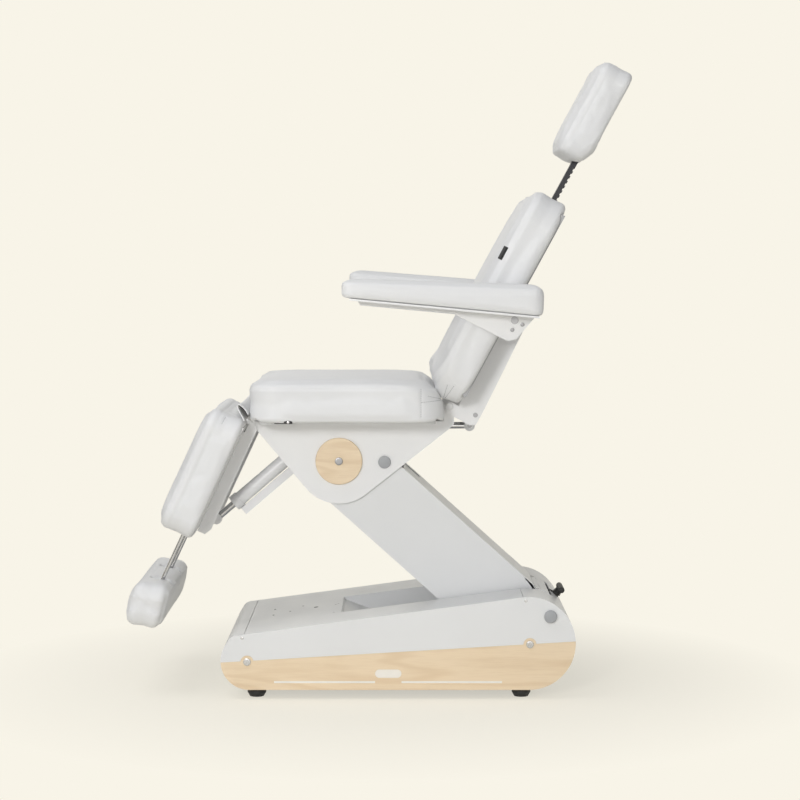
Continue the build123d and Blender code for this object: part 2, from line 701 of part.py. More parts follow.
def make_base_inside():
    """The sheet liner of the arm's well and the control box on the tray."""
    inside = base_outline(SHEET + FIT)
    wall = inside & region_box(WELL_FRONT_X, REAR_SEAM_X, TRAY_TOP, SKY)
    top = top_z(WELL_FRONT_X, SHEET + FIT)
    run = (top - RAMP_FOOT_Z) / tan(radians(RAMP_DEG))
    thick = SHEET / cos(radians(RAMP_DEG))
    ramp = polygon(
        [
            (WELL_FRONT_X, top - thick - SHEET),
            (WELL_FRONT_X, top + OVERRUN),
            (WELL_FRONT_X + SHEET, top + OVERRUN),
            (WELL_FRONT_X + SHEET, top - SHEET),
            (WELL_FRONT_X + run, RAMP_FOOT_Z),
            (RAMP_END_X, RAMP_FOOT_Z),
            (RAMP_END_X, RAMP_FOOT_Z - SHEET),
            (WELL_FRONT_X + run - SHEET, RAMP_FOOT_Z - SHEET),
        ]
    )
    liner = prism(ramp & inside, -WELL_LINER_OUTER, WELL_LINER_OUTER)
    for side in (-1, 1):
        liner = liner + prism(wall, *span(side, WELL_HALF, WELL_LINER_OUTER))
    save("well_liner", liner)
    length, width, height = CONTROL_SIZE
    case = block(
        CONTROL_X - length / 2, CONTROL_X + length / 2, -width / 2, width / 2, TRAY_TOP, TRAY_TOP + height
    )
    save("control_box", fillet(case.edges().group_by(Axis.Z)[-1], SHEET * 2))


def make_lift_actuator():
    """The linear actuator that pulls the crank: fixed tube with its motor, and sliding rod."""
    z = CRANK_PIN[1]
    start = LIFT_TUBE_END - LIFT_TUBE_LENGTH
    barrel = Plane(origin=(start, 0, z), x_dir=(0, 1, 0), z_dir=(1, 0, 0))
    tube = extrude(barrel * Circle(LIFT_TUBE_R), amount=LIFT_TUBE_LENGTH)
    motor = block(
        start - MOTOR_LENGTH,
        start,
        -MOTOR_HALF,
        MOTOR_HALF,
        z - LIFT_TUBE_R,
        z + LIFT_TUBE_R,
    )
    bore = extrude(barrel * Circle(LIFT_ROD_R + SOFT_GAP), amount=LIFT_TUBE_LENGTH)
    save("lift_actuator", fillet(motor.edges().filter_by(Axis.X), SHEET * 2) + tube - bore)
    rod_start = CRANK_PIN[0] - LIFT_ROD_INSIDE
    rod_plane = Plane(origin=(rod_start, 0, z), x_dir=(0, 1, 0), z_dir=(1, 0, 0))
    rod = extrude(rod_plane * Circle(LIFT_ROD_R), amount=LIFT_ROD_INSIDE)
    drop = CRANK_R * (1 - cos(radians((ARM_HIGH_DEG - ARM_LOW_DEG) / 2)))
    eye_r = CRANK_PIN_R + drop + SHEET * 2
    eye = rod_y(*CRANK_PIN, eye_r, -CRANK_GAP_HALF + SHEET, CRANK_GAP_HALF - SHEET)
    slot_height = 2 * (CRANK_PIN_R + drop + FIT)
    slot = Pos(*CRANK_PIN) * Rot(0, 0, 90) * SlotOverall(slot_height + SHEET, 2 * CRANK_PIN_R + SHEET)
    save("lift_rod", rod + eye - prism(slot, -CRANK_GAP_HALF, CRANK_GAP_HALF))


def make_lift_arm():
    """The box arm with its crank plates, bushes, shafts and the tie rod inside it."""
    half = ARM_HALF_DEPTH
    sides = []
    outline = polygon(ARM.points([(0, -half), (ARM_LENGTH, -half), (ARM_LENGTH, half), (0, half)]))
    outline = outline + Pos(*CARRIER_PIVOT) * Circle(half) + Pos(ARM_PIVOT_X, ARM_PIVOT_Z) * Circle(ARM_TAIL_R)
    bush_r = MAIN_SHAFT_R + RUNNING_CLEARANCE + BUSH_WALL
    outline = outline - Pos(*CARRIER_PIVOT) * Circle(bush_r)
    outline = outline - Pos(ARM_PIVOT_X, ARM_PIVOT_Z) * Circle(bush_r)
    arm = None
    for side in (-1, 1):
        plate = prism(outline, *span(side, ARM_HALF - ARM_WALL, ARM_HALF))
        arm = plate if arm is None else arm + plate
    inner = ARM_HALF - ARM_WALL
    top_skin = ARM.box(WELD, ARM_LENGTH - SKIN_TOP_START, half - ARM_WALL, half, -inner, inner)
    notch_end = ARM_LENGTH - SKIN_TOP_START - NOTCH_LENGTH
    notch = ARM.box(
        notch_end, ARM_LENGTH, ARM_WALL, half + ARM_WALL, BACK_ACTUATOR_Y - LEG_TUBE_R - SHEET * 2,
        BACK_ACTUATOR_Y + LEG_TUBE_R + SHEET * 2,
    )
    low_skin = ARM.box(SKIN_LOW_END, ARM_LENGTH, -half, ARM_WALL - half, -inner, inner)
    arm = arm + (top_skin - notch) + low_skin
    crank_outline = polygon(
        [
            (ARM_PIVOT_X - CRANK_HUB_R, ARM_PIVOT_Z),
            (CRANK_PIN[0] - CRANK_EYE_R, CRANK_PIN[1]),
            (CRANK_PIN[0] + CRANK_EYE_R, CRANK_PIN[1]),
            (ARM_PIVOT_X + CRANK_HUB_R, ARM_PIVOT_Z),
        ]
    )
    web = polygon(
        [
            ARM.at(WELD, WELD),
            ARM.at(WELD, half - ARM_WALL * 4),
            ARM.at(half, half - ARM_WALL / 2),
            ARM.at(half * 1.6, half - ARM_WALL / 2),
            ARM.at(half * 1.6, -half + ARM_WALL / 2),
            ARM.at(SKIN_LOW_END, -half + ARM_WALL / 2),
        ]
    )
    crank_outline = crank_outline + Pos(ARM_PIVOT_X, ARM_PIVOT_Z) * Circle(CRANK_HUB_R)
    crank_outline = crank_outline + Pos(*CRANK_PIN) * Circle(CRANK_EYE_R) + web
    crank_outline = crank_outline - Pos(ARM_PIVOT_X, ARM_PIVOT_Z) * Circle(MAIN_SHAFT_R + RUNNING_CLEARANCE)
    crank_outline = crank_outline - Pos(*CRANK_PIN) * Circle(CRANK_PIN_R)
    for side in (-1, 1):
        arm = arm + prism(crank_outline, *span(side, CRANK_GAP_HALF, CRANK_GAP_HALF + CRANK_PLATE))
    save("lift_arm", arm)
    pin_end = CRANK_GAP_HALF + CRANK_PLATE
    save("crank_pin", rod_y(*CRANK_PIN, CRANK_PIN_R, -pin_end, pin_end))
    bushes = []
    for x, z in ((ARM_PIVOT_X, ARM_PIVOT_Z), CARRIER_PIVOT):
        for side in (-1, 1):
            bushes.append(
                disc_between(
                    x, z, bush_r, MAIN_SHAFT_R + RUNNING_CLEARANCE, *span(side, ARM_HALF - ARM_WALL * 2, ARM_HALF)
                )
            )
    save("arm_bushes", *bushes)
    main_shaft = rod_y(ARM_PIVOT_X, ARM_PIVOT_Z, MAIN_SHAFT_R, -PIVOT_OUTER, PIVOT_OUTER)
    save("base_shafts", main_shaft, rod_y(*TIE_LOW, TIE_PIN_R, -PIVOT_OUTER, PIVOT_OUTER))
    tie = polygon(
        [
            (TIE_LOW[0] + TIE_HALF_DEPTH * ARM_UP[0], TIE_LOW[1] + TIE_HALF_DEPTH * ARM_UP[1]),
            (TIE_HIGH[0] + TIE_HALF_DEPTH * ARM_UP[0], TIE_HIGH[1] + TIE_HALF_DEPTH * ARM_UP[1]),
            (TIE_HIGH[0] - TIE_HALF_DEPTH * ARM_UP[0], TIE_HIGH[1] - TIE_HALF_DEPTH * ARM_UP[1]),
            (TIE_LOW[0] - TIE_HALF_DEPTH * ARM_UP[0], TIE_LOW[1] - TIE_HALF_DEPTH * ARM_UP[1]),
        ]
    )
    for x, z in (TIE_LOW, TIE_HIGH):
        tie = tie + Pos(x, z) * Circle(TIE_EYE_R)
    for x, z in (TIE_LOW, TIE_HIGH):
        tie = tie - Pos(x, z) * Circle(TIE_PIN_R + RUNNING_CLEARANCE)
    save("tie_rod", prism(tie, -TIE_HALF, TIE_HALF))


CARRIER_INNER = CARRIER_HALF - CARRIER_PLATE
FRAME_INNER = CARRIER_HALF + FRAME_GAP
FRAME_OUTER = FRAME_INNER + FRAME_PLATE
EAR_R = 13.0
CARRIER_REAR = (171.5, CARRIER_TOP_Z - 22.0)
CARRIER_FRONT = (-311.0, CARRIER_TOP_Z - 27.0)
LUG_HALF = 14.0
LUG = 6.0
LUG_TOP_Z = CARRIER_TOP_Z - SHEET * 2
CROSS_BAR = 5.0
CROSS_BAR_FRONT = (-296.0, -246.0)
CROSS_BAR_REAR = (114.0, 158.0)
REAR_LUG_HALF = 16.0


def tangent_side(point, centre, radius, turn):
    """Where a line from a point touches a circle, on the side given by turn."""
    dx = centre[0] - point[0]
    dz = centre[1] - point[1]
    reach = hypot(dx, dz)
    angle = atan2(dz, dx) + turn * atan2(radius, sqrt(reach**2 - radius**2))
    length = sqrt(reach**2 - radius**2)
    return (point[0] + length * cos(angle), point[1] + length * sin(angle))


def carrier_outline():
    """The V-shaped side plate that hangs from the seat and wraps round the arm's pivot."""
    front = tangent_side(CARRIER_FRONT, CARRIER_PIVOT, CARRIER_ARC_R, -1)
    rear = tangent_side(CARRIER_REAR, CARRIER_PIVOT, CARRIER_ARC_R, 1)
    face = polygon(
        [
            (LEG_HINGE_X, CARRIER_TOP_Z),
            CARRIER_FRONT,
            front,
            CARRIER_PIVOT,
            rear,
            CARRIER_REAR,
            (BACK_HINGE_X + EAR_R, CARRIER_TOP_Z - EAR_R / 2),
            (BACK_HINGE_X + EAR_R, BACK_HINGE_Z),
            (BACK_HINGE_X - EAR_R, BACK_HINGE_Z),
            (BACK_HINGE_X - EAR_R, CARRIER_TOP_Z),
        ]
    )
    arc = Pos(*CARRIER_PIVOT) * Circle(CARRIER_ARC_R)
    face = face + (arc & region_box(CARRIER_FRONT[0], CARRIER_REAR[0], WELD, CARRIER_TOP_Z))
    face = face + Pos(BACK_HINGE_X, BACK_HINGE_Z) * Circle(EAR_R)
    face = face + Pos(LEG_HINGE_X, LEG_HINGE_Z) * Circle(EAR_R)
    for x, z in ((BACK_HINGE_X, BACK_HINGE_Z), (LEG_HINGE_X, LEG_HINGE_Z)):
        face = face - Pos(x, z) * Circle(HINGE_PIN_R)
    face = face - Pos(*CARRIER_PIVOT) * Circle(MAIN_SHAFT_R)
    return face - Pos(*TIE_HIGH) * Circle(TIE_PIN_R)


def make_carrier():
    """Side plates, cross bars, the tie bracket and the pins that the seat carrier holds."""
    outline = carrier_outline()
    for side, name in ((-1, "near"), (1, "far")):
        save(f"carrier_plate_{name}", prism(outline, *span(side, CARRIER_INNER, CARRIER_HALF)))
    plate_z = CARRIER_TOP_Z - CROSS_BAR
    bars = []
    for low, high in (CROSS_BAR_FRONT, CROSS_BAR_REAR):
        bars.append(block(low, high, -CARRIER_INNER, CARRIER_INNER, plate_z, CARRIER_TOP_Z))
    save("carrier_cross_bars", *bars)
    holders = (
        (TIE_HIGH, TIE_PIN_R, LUG_HALF, 0, TIE_HALF + SHEET),
        ((LEG_REAR_PIVOT_X, LEG_REAR_PIVOT_Z), HINGE_PIN_R, REAR_LUG_HALF, 0, CLEVIS_HALF + SHEET),
        ((BACK_REAR_PIVOT_X, BACK_REAR_PIVOT_Z), HINGE_PIN_R, REAR_LUG_HALF, BACK_ACTUATOR_Y, CLEVIS_HALF + SHEET),
    )
    bracket = block(
        LEG_REAR_PIVOT_X - REAR_LUG_HALF, TIE_HIGH[0] + LUG_HALF, -CARRIER_INNER, CARRIER_INNER, plate_z, CARRIER_TOP_Z
    )
    pins = [rod_y(*CARRIER_PIVOT, MAIN_SHAFT_R, -CARRIER_HALF, CARRIER_HALF)]
    for (x, z), pin_r, half, y, inner in holders:
        lug = region_box(x - half, x + half, z, CARRIER_TOP_Z) + Pos(x, z) * Circle(half)
        lug = lug - Pos(x, z) * Circle(pin_r)
        for y_low in (y - inner - LUG, y + inner):
            bracket = bracket + prism(lug, y_low, y_low + LUG)
        pins.append(rod_y(x, z, pin_r, y - inner - LUG, y + inner + LUG))
    save("carrier_bracket", bracket)
    save("carrier_pins", *pins)
    hinges = []
    for x, z in ((LEG_HINGE_X, LEG_HINGE_Z), (BACK_HINGE_X, BACK_HINGE_Z)):
        for side in (-1, 1):
            pin = rod_y(x, z, HINGE_PIN_R, *span(side, CARRIER_INNER, FRAME_OUTER))
            head = rod_y(x, z, HINGE_CAP_R, *span(side, FRAME_OUTER, FRAME_OUTER + HINGE_CAP))
            hinges.append(fillet(outer_edges(head, side), HINGE_CAP / 2) + pin)
    save("hinge_pins", *hinges)


def make_carrier_trim():
    """Wood discs over the main pivot, their screws, and the access caps over the tie pin."""
    discs = []
    screws = []
    caps = []
    for side in (-1, 1):
        disc = rod_y(*CARRIER_PIVOT, DISC_R, *span(side, CARRIER_HALF, CARRIER_HALF + DISC))
        disc = chamfer(outer_edges(disc, side), SMALL_SCREW_HEAD)
        disc = disc - rod_y(*CARRIER_PIVOT, STUD_R, *span(side, CARRIER_HALF, CARRIER_HALF + DISC))
        discs.append(disc)
        outer = CARRIER_HALF + DISC
        head = rod_y(*CARRIER_PIVOT, DISC_SCREW_R, *span(side, outer, outer + DISC_SCREW_HEAD))
        screws.append(head + rod_y(*CARRIER_PIVOT, STUD_R, *span(side, CARRIER_HALF, outer)))
        head = rod_y(*TIE_HIGH, CAP_R, *span(side, CARRIER_HALF, CARRIER_HALF + CAP_HEIGHT))
        stem = rod_y(*TIE_HIGH, TIE_PIN_R, *span(side, CARRIER_INNER, CARRIER_HALF))
        caps.append(fillet(outer_edges(head, side), SMALL_SCREW_HEAD) + stem)
    save("wood_discs", *discs)
    save("carrier_caps", *screws, *caps)


SEAT_BASE_Z = CARRIER_TOP_Z + SEAT_BOARD + SEAT_GAP
SEAT_PLANE = Plane(origin=(0, 0, SEAT_BASE_Z), x_dir=(1, 0, 0), z_dir=(0, 0, 1))
SEAT_SLOPE_START = 50.0
LATCH_X = (-263.0, -218.0)
LATCH_DROP = 9.0
LATCH_HALF_WIDTH = 12.0


def seat_ends(height):
    """Front and rear ends of the seat cushion at a height over its board."""
    if height <= SEAT_SLOPE_START:
        return SEAT_FRONT_X, SEAT_REAR_X
    rise = (height - SEAT_SLOPE_START) / (SEAT_THICK - SEAT_SLOPE_START)
    return SEAT_FRONT_X, SEAT_REAR_X - (SEAT_REAR_X - SEAT_TOP_REAR_X) * min(rise, 1)


def make_seat():
    """The seat board and its crowned cushion."""
    board = block(
        SEAT_FRONT_X + CAP_R, SEAT_REAR_X - CAP_R, -SEAT_BOARD_HALF, SEAT_BOARD_HALF,
        CARRIER_TOP_Z, CARRIER_TOP_Z + SEAT_BOARD,
    )
    save("seat_board", fillet(board.edges().filter_by(Axis.Z), SEAT_CORNER_R / 2))
    save(
        "seat_cushion",
        cushion(
            SEAT_PLANE, seat_ends, SEAT_HALF, SEAT_THICK, SEAT_CORNER_R,
            SEAT_BACK_EDGE, SEAT_FRONT_EDGE, SEAT_CROWN, CUSHION_DRAW, CUSHION_WAIST,
        ),
    )
    catches = []
    for side in (-1, 1):
        y_low, y_high = span(side, SEAT_BOARD_HALF, SEAT_BOARD_HALF + LATCH_HALF_WIDTH)
        low, high = LATCH_X
        z_high = CARRIER_TOP_Z + SEAT_BOARD
        catches.append(block(low, high, y_low, y_high, z_high - LATCH_DROP, z_high))
    save("seat_catches", *catches)


LEG_PIVOT_DISTANCE = hypot(
    LEG.at(LEG_PIN_U, LEG_PIN_T)[0] - LEG_REAR_PIVOT_X, LEG.at(LEG_PIN_U, LEG_PIN_T)[1] - LEG_REAR_PIVOT_Z
)
LEG_TUBE_LENGTH = 271.0
LEG_ROD_INSIDE = 180.0
CLEVIS_R = 14.0
CLEVIS_HALF = 12.0
TUBE_EAR_R = 20.0
COLLAR_LENGTH = 20.0
COLLAR_GROWTH = 3.0
ACTUATOR_STROKE = 92.0
RAIL_SHARES = (0.24, 0.8)
RAIL_HEIGHT = 20.0
RAIL_HALF = 11.0
RAIL_DROP = LEG_TUBE_R + COLLAR_GROWTH + FIT


def actuator(rear, pin, tube_length, tube_r, rod_inside, y):
    """The tube and the rod of a linear actuator between its two pivots, at y.

    Gives the tube, its end collar, and the rod. The rod slides in the tube with room to tilt.
    """
    dx, dz = pin[0] - rear[0], pin[1] - rear[1]
    reach = hypot(dx, dz)
    aim = (dx / reach, 0, dz / reach)

    def at(distance):
        return (rear[0] + distance * aim[0], y, rear[1] + distance * aim[2])

    def bar(radius, start, end):
        plane = Plane(origin=at(start), x_dir=(0, 1, 0), z_dir=aim)
        return extrude(plane * Circle(radius), amount=end - start)

    cap = COLLAR_LENGTH
    tube = bar(tube_r, cap, tube_length - cap)
    tube = tube - bar(ACTUATOR_BORE_R, reach - rod_inside - ACTUATOR_STROKE, tube_length)
    ear = rod_y(*rear, TUBE_EAR_R, y - CLEVIS_HALF, y + CLEVIS_HALF) + bar(TUBE_EAR_R * 0.6, WELD, cap + SHEET)
    ear = ear - rod_y(*rear, HINGE_PIN_R + RUNNING_CLEARANCE, y - OVERRUN, y + OVERRUN)
    collar = bar(tube_r + COLLAR_GROWTH, tube_length - cap, tube_length)
    collar = collar - bar(ACTUATOR_BORE_R, WELD, tube_length)
    rod = bar(ACTUATOR_ROD_R, reach - rod_inside, reach)
    eye = rod_y(*pin, CLEVIS_R, y - CLEVIS_HALF, y + CLEVIS_HALF)
    rod = (rod + eye) - rod_y(*pin, HINGE_PIN_R + RUNNING_CLEARANCE, y - OVERRUN, y + OVERRUN)
    return tube + ear, collar, rod


def make_leg_actuator():
    """The actuator under the leg section, with the guide rail beside its tube."""
    rear = (LEG_REAR_PIVOT_X, LEG_REAR_PIVOT_Z)
    pin = LEG.at(LEG_PIN_U, LEG_PIN_T)
    tube, collar, rod = actuator(rear, pin, LEG_TUBE_LENGTH, LEG_TUBE_R, LEG_ROD_INSIDE, 0)
    save("leg_actuator_tube", tube, collar)
    save("leg_actuator_rod", rod)
    reach = LEG_PIVOT_DISTANCE
    aim = ((pin[0] - rear[0]) / reach, (pin[1] - rear[1]) / reach)
    down = (-aim[1], aim[0]) if aim[0] > 0 else (aim[1], -aim[0])
    corners = []
    for share, drop in (
        (RAIL_SHARES[0], RAIL_DROP),
        (RAIL_SHARES[1], RAIL_DROP),
        (RAIL_SHARES[1], RAIL_DROP + RAIL_HEIGHT),
        (RAIL_SHARES[0], RAIL_DROP + RAIL_HEIGHT),
    ):
        along = share * reach
        corners.append((rear[0] + along * aim[0] - drop * down[0], rear[1] + along * aim[1] - drop * down[1]))
    save("leg_actuator_rail", slab(corners, -RAIL_HALF, RAIL_HALF))


LEG_BACK_T = 1.7
LEG_CUSHION_T = LEG_BACK_T + LEG_BOARD + SOFT_GAP
LEG_WEB = 4.0
LEG_NOTCH = EAR_R + 3.0
LEG_NOTCH_GAP = 6.0
LEG_HEEL = 18.0
LEG_START_REAR = -9.0
LEG_START_FRONT = -7.0
LEG_CORNER_R = 48.0
LEG_BACK_EDGE = 14.0
LEG_FRONT_EDGE = 24.0
LEG_BOARD_HALF = 236.0
GUIDE_START = 190.0
GUIDE_END = 300.0
GUIDE_HALF = 13.0
GUIDE_DEPTH = 12.0
ROD_TRAVEL_IN = 110.0
ROD_INSIDE_U = 165.0
FOOT_PIN_U = 505.0


def leg_ends(height):
    """Upper and lower ends of the calf cushion at a height over its board."""
    share = min(max((height - BOARD_WRAP) / LEG_THICK, 0), 1)
    return LEG_START_REAR + (LEG_START_FRONT - LEG_START_REAR) * share, LEG_LENGTH


def make_leg():
    """The leg frame, the board and cushion on it, and the guides of the foot rest's rods."""
    outline = polygon(
        LEG.points(
            [
                (WELD, LEG_BACK_T - LEG_WEB),
                (LEG_FRAME_LENGTH, LEG_BACK_T - LEG_WEB),
                (LEG_FRAME_LENGTH, -LEG_FRAME_DEPTH * 2 / 3),
                (LEG_PIN_U + CLEVIS_R, -LEG_FRAME_DEPTH),
                (LEG_HEEL, -LEG_FRAME_DEPTH),
                (WELD, -EAR_R),
            ]
        )
    )
    outline = outline + Pos(LEG_HINGE_X, LEG_HINGE_Z) * Circle(EAR_R)
    outline = outline - Pos(LEG_HINGE_X, LEG_HINGE_Z) * Circle(HINGE_PIN_R + RUNNING_CLEARANCE)
    frame = LEG.box(LEG_HEEL * 2, LEG_FRAME_LENGTH, LEG_BACK_T - LEG_WEB, LEG_BACK_T, -FRAME_OUTER, FRAME_OUTER)
    for side in (-1, 1):
        frame = frame + prism(outline, *span(side, FRAME_INNER, FRAME_OUTER))
    pin = LEG.at(LEG_PIN_U, LEG_PIN_T)
    ears = Pos(*pin) * Circle(CLEVIS_R) + polygon(
        LEG.points(
            [
                (LEG_PIN_U - CLEVIS_R, LEG_PIN_T),
                (LEG_PIN_U + CLEVIS_R, LEG_PIN_T),
                (LEG_PIN_U + CLEVIS_R, LEG_BACK_T - LEG_WEB),
                (LEG_PIN_U - CLEVIS_R, LEG_BACK_T - LEG_WEB),
            ]
        )
    )
    ears = ears - Pos(*pin) * Circle(HINGE_PIN_R)
    for side in (-1, 1):
        frame = frame + prism(ears, *span(side, CLEVIS_HALF + SHEET, CLEVIS_HALF + SHEET + FRAME_PLATE))
    for side in (-1, 1):
        y_low, y_high = span(side, FOOT_ROD_Y - GUIDE_HALF, FOOT_ROD_Y + GUIDE_HALF)
        frame = frame + LEG.box(
            GUIDE_START, GUIDE_END, LEG_BACK_T, FOOT_ROD_T + GUIDE_DEPTH, y_low, y_high
        )
    for side in (-1, 1):
        frame = frame - leg_rod(side, FOOT_ROD_R + RUNNING_CLEARANCE, GUIDE_START - OVERRUN, GUIDE_END + OVERRUN)
    ear_end = CLEVIS_HALF + SHEET + FRAME_PLATE
    save("leg_frame", frame, rod_y(*pin, HINGE_PIN_R, -ear_end, ear_end))

    pocket = None
    for side in (-1, 1):
        y_low, y_high = span(side, FOOT_ROD_Y - GUIDE_HALF - SOFT_GAP * 2, FOOT_ROD_Y + GUIDE_HALF + SOFT_GAP * 2)
        cut = LEG.box(
            GUIDE_START - ROD_TRAVEL_IN - OVERRUN, LEG_LENGTH + OVERRUN, LEG_BACK_T,
            FOOT_ROD_T + GUIDE_DEPTH + SOFT_GAP, y_low, y_high,
        )
        pocket = cut if pocket is None else pocket + cut
    board = LEG.box(
        LEG_HEEL, LEG_LENGTH - LEG_HEEL, LEG_BACK_T, LEG_BACK_T + LEG_BOARD, -LEG_BOARD_HALF, LEG_BOARD_HALF
    )
    save("leg_board", board - pocket)
    pad = cushion(
        LEG.plane(LEG_CUSHION_T - BOARD_WRAP), leg_ends, LEG_HALF, LEG_THICK + BOARD_WRAP, LEG_CORNER_R,
        LEG_BACK_EDGE, LEG_FRONT_EDGE, SEAT_CROWN, CUSHION_DRAW, CUSHION_WAIST,
    )
    recess = LEG.box(
        LEG_HEEL - SOFT_GAP, LEG_LENGTH - LEG_HEEL + SOFT_GAP, LEG_BACK_T, LEG_CUSHION_T,
        -LEG_BOARD_HALF - SOFT_GAP, LEG_BOARD_HALF + SOFT_GAP,
    )
    notch = LEG.box(
        WELD - OVERRUN, LEG_NOTCH, WELD - OVERRUN, LEG_NOTCH, -FRAME_OUTER - LEG_NOTCH_GAP, FRAME_OUTER + LEG_NOTCH_GAP
    )
    save("leg_cushion", pad - pocket - recess - notch)


def leg_rod(side, radius, u_low, u_high):
    """A round bar along one of the foot rest's rods."""
    x, z = LEG.at(u_low, FOOT_ROD_T)
    plane = Plane(origin=(x, side * FOOT_ROD_Y, z), x_dir=(0, 1, 0), z_dir=(LEG.along[0], 0, LEG.along[1]))
    return extrude(plane * Circle(radius), amount=u_high - u_low)


FOOT_PLATE = 5.0
FOOT_PLATE_HALF = 240.0
FOOT_LEAN = LEG_TILT - FOOT_PAD_TILT
FOOT_CORNER_R = 34.0
FOOT_BACK_EDGE = 16.0
FOOT_FRONT_EDGE = 26.0
FOOT_CROWN = 4.0
FOOT_PLATE_INSET = 12.0
FOOT_LUG_HALF = 12.0
FOOT_BACK_T = 6.0
FOOT_LUG_U = (31.0, 67.0)
FOOT = Section(
    *LEG.at(FOOT_PAD_START, FOOT_BACK_T),
    (-sin(radians(FOOT_PAD_TILT)), -cos(radians(FOOT_PAD_TILT))),
    (-cos(radians(FOOT_PAD_TILT)), sin(radians(FOOT_PAD_TILT))),
)


def foot_ends(height):
    """Upper and lower ends of the foot cushion at a height over its plate."""
    return WELD, FOOT_PAD_LENGTH


def make_foot_rest():
    """The foot rest: two rods, the plate they end in and its cushion."""
    rods = [leg_rod(side, FOOT_ROD_R, ROD_INSIDE_U, FOOT_PIN_U) for side in (-1, 1)]
    save("foot_rods", *rods)
    plate = FOOT.box(
        FOOT_PLATE_INSET, FOOT_PAD_LENGTH - FOOT_PLATE_INSET, -FOOT_PLATE, WELD, -FOOT_PLATE_HALF, FOOT_PLATE_HALF
    )
    pockets = None
    depth = FOOT_ROD_T + FOOT_LUG_HALF * 2
    for side in (-1, 1):
        y_low, y_high = span(side, FOOT_ROD_Y - FOOT_LUG_HALF, FOOT_ROD_Y + FOOT_LUG_HALF)
        plate = plate + FOOT.box(*FOOT_LUG_U, WELD, depth, y_low, y_high)
        gap_low, gap_high = span(side, FOOT_ROD_Y - FOOT_LUG_HALF - SOFT_GAP, FOOT_ROD_Y + FOOT_LUG_HALF + SOFT_GAP)
        cut = FOOT.box(
            -OVERRUN, FOOT_LUG_U[1] + SOFT_GAP, WELD - OVERRUN, depth + SOFT_GAP, gap_low, gap_high
        )
        pockets = cut if pockets is None else pockets + cut
    for side in (-1, 1):
        plate = plate - leg_rod(side, FOOT_ROD_R, ROD_INSIDE_U, FOOT_PIN_U)
    save("foot_plate", plate)
    pad = cushion(
        FOOT.plane(SOFT_GAP), foot_ends, LEG_HALF, FOOT_PAD_THICK, FOOT_CORNER_R,
        FOOT_BACK_EDGE, FOOT_FRONT_EDGE, FOOT_CROWN, CUSHION_DRAW, CUSHION_WAIST,
    )
    save("foot_cushion", pad - pockets)


BACK_CORNER_R = 55.0
BACK_BACK_EDGE = 16.0
BACK_FRONT_EDGE = 26.0
BACK_END_SLOPE = 45.0
BACK_START_FRONT = 44.0
BACK_BOARD_HALF = 246.0
BACK_CUSHION_T = BACK_REAR_T + BACK_BOARD + SOFT_GAP
BAR_CLEARANCE = 0.3
SOCKET_WALL = 5.0
SOCKET_START = 360.0
BAR_START = 385.0
BACK_TAIL_LOW = -17.0
TAIL_PLATE_T = -69.0
CLEVIS_PLATE = 5.0
CROSS_TUBE_R = 11.0
CROSS_TUBE_INSET = 2.0
FRAME_SCREW_R = 6.0
FRAME_SCREW = 2.0
TAG_LENGTH = 36.0
TAG_WIDTH = 14.0
TAG = 1.2
TAG_SEAT = 3.6
TAG_V = 403.0
TAG_T = 60.0
TAG_LEAN = 17.0


def back_ends(height):
    """Lower and upper ends of the back cushion at a height over its board."""
    rise = max(height - BOARD_WRAP - BACK_END_SLOPE, 0) / (BACK_THICK - BACK_END_SLOPE)
    return BACK_START + (BACK_START_FRONT - BACK_START) * min(rise, 1), BACK_START + BACK_LENGTH


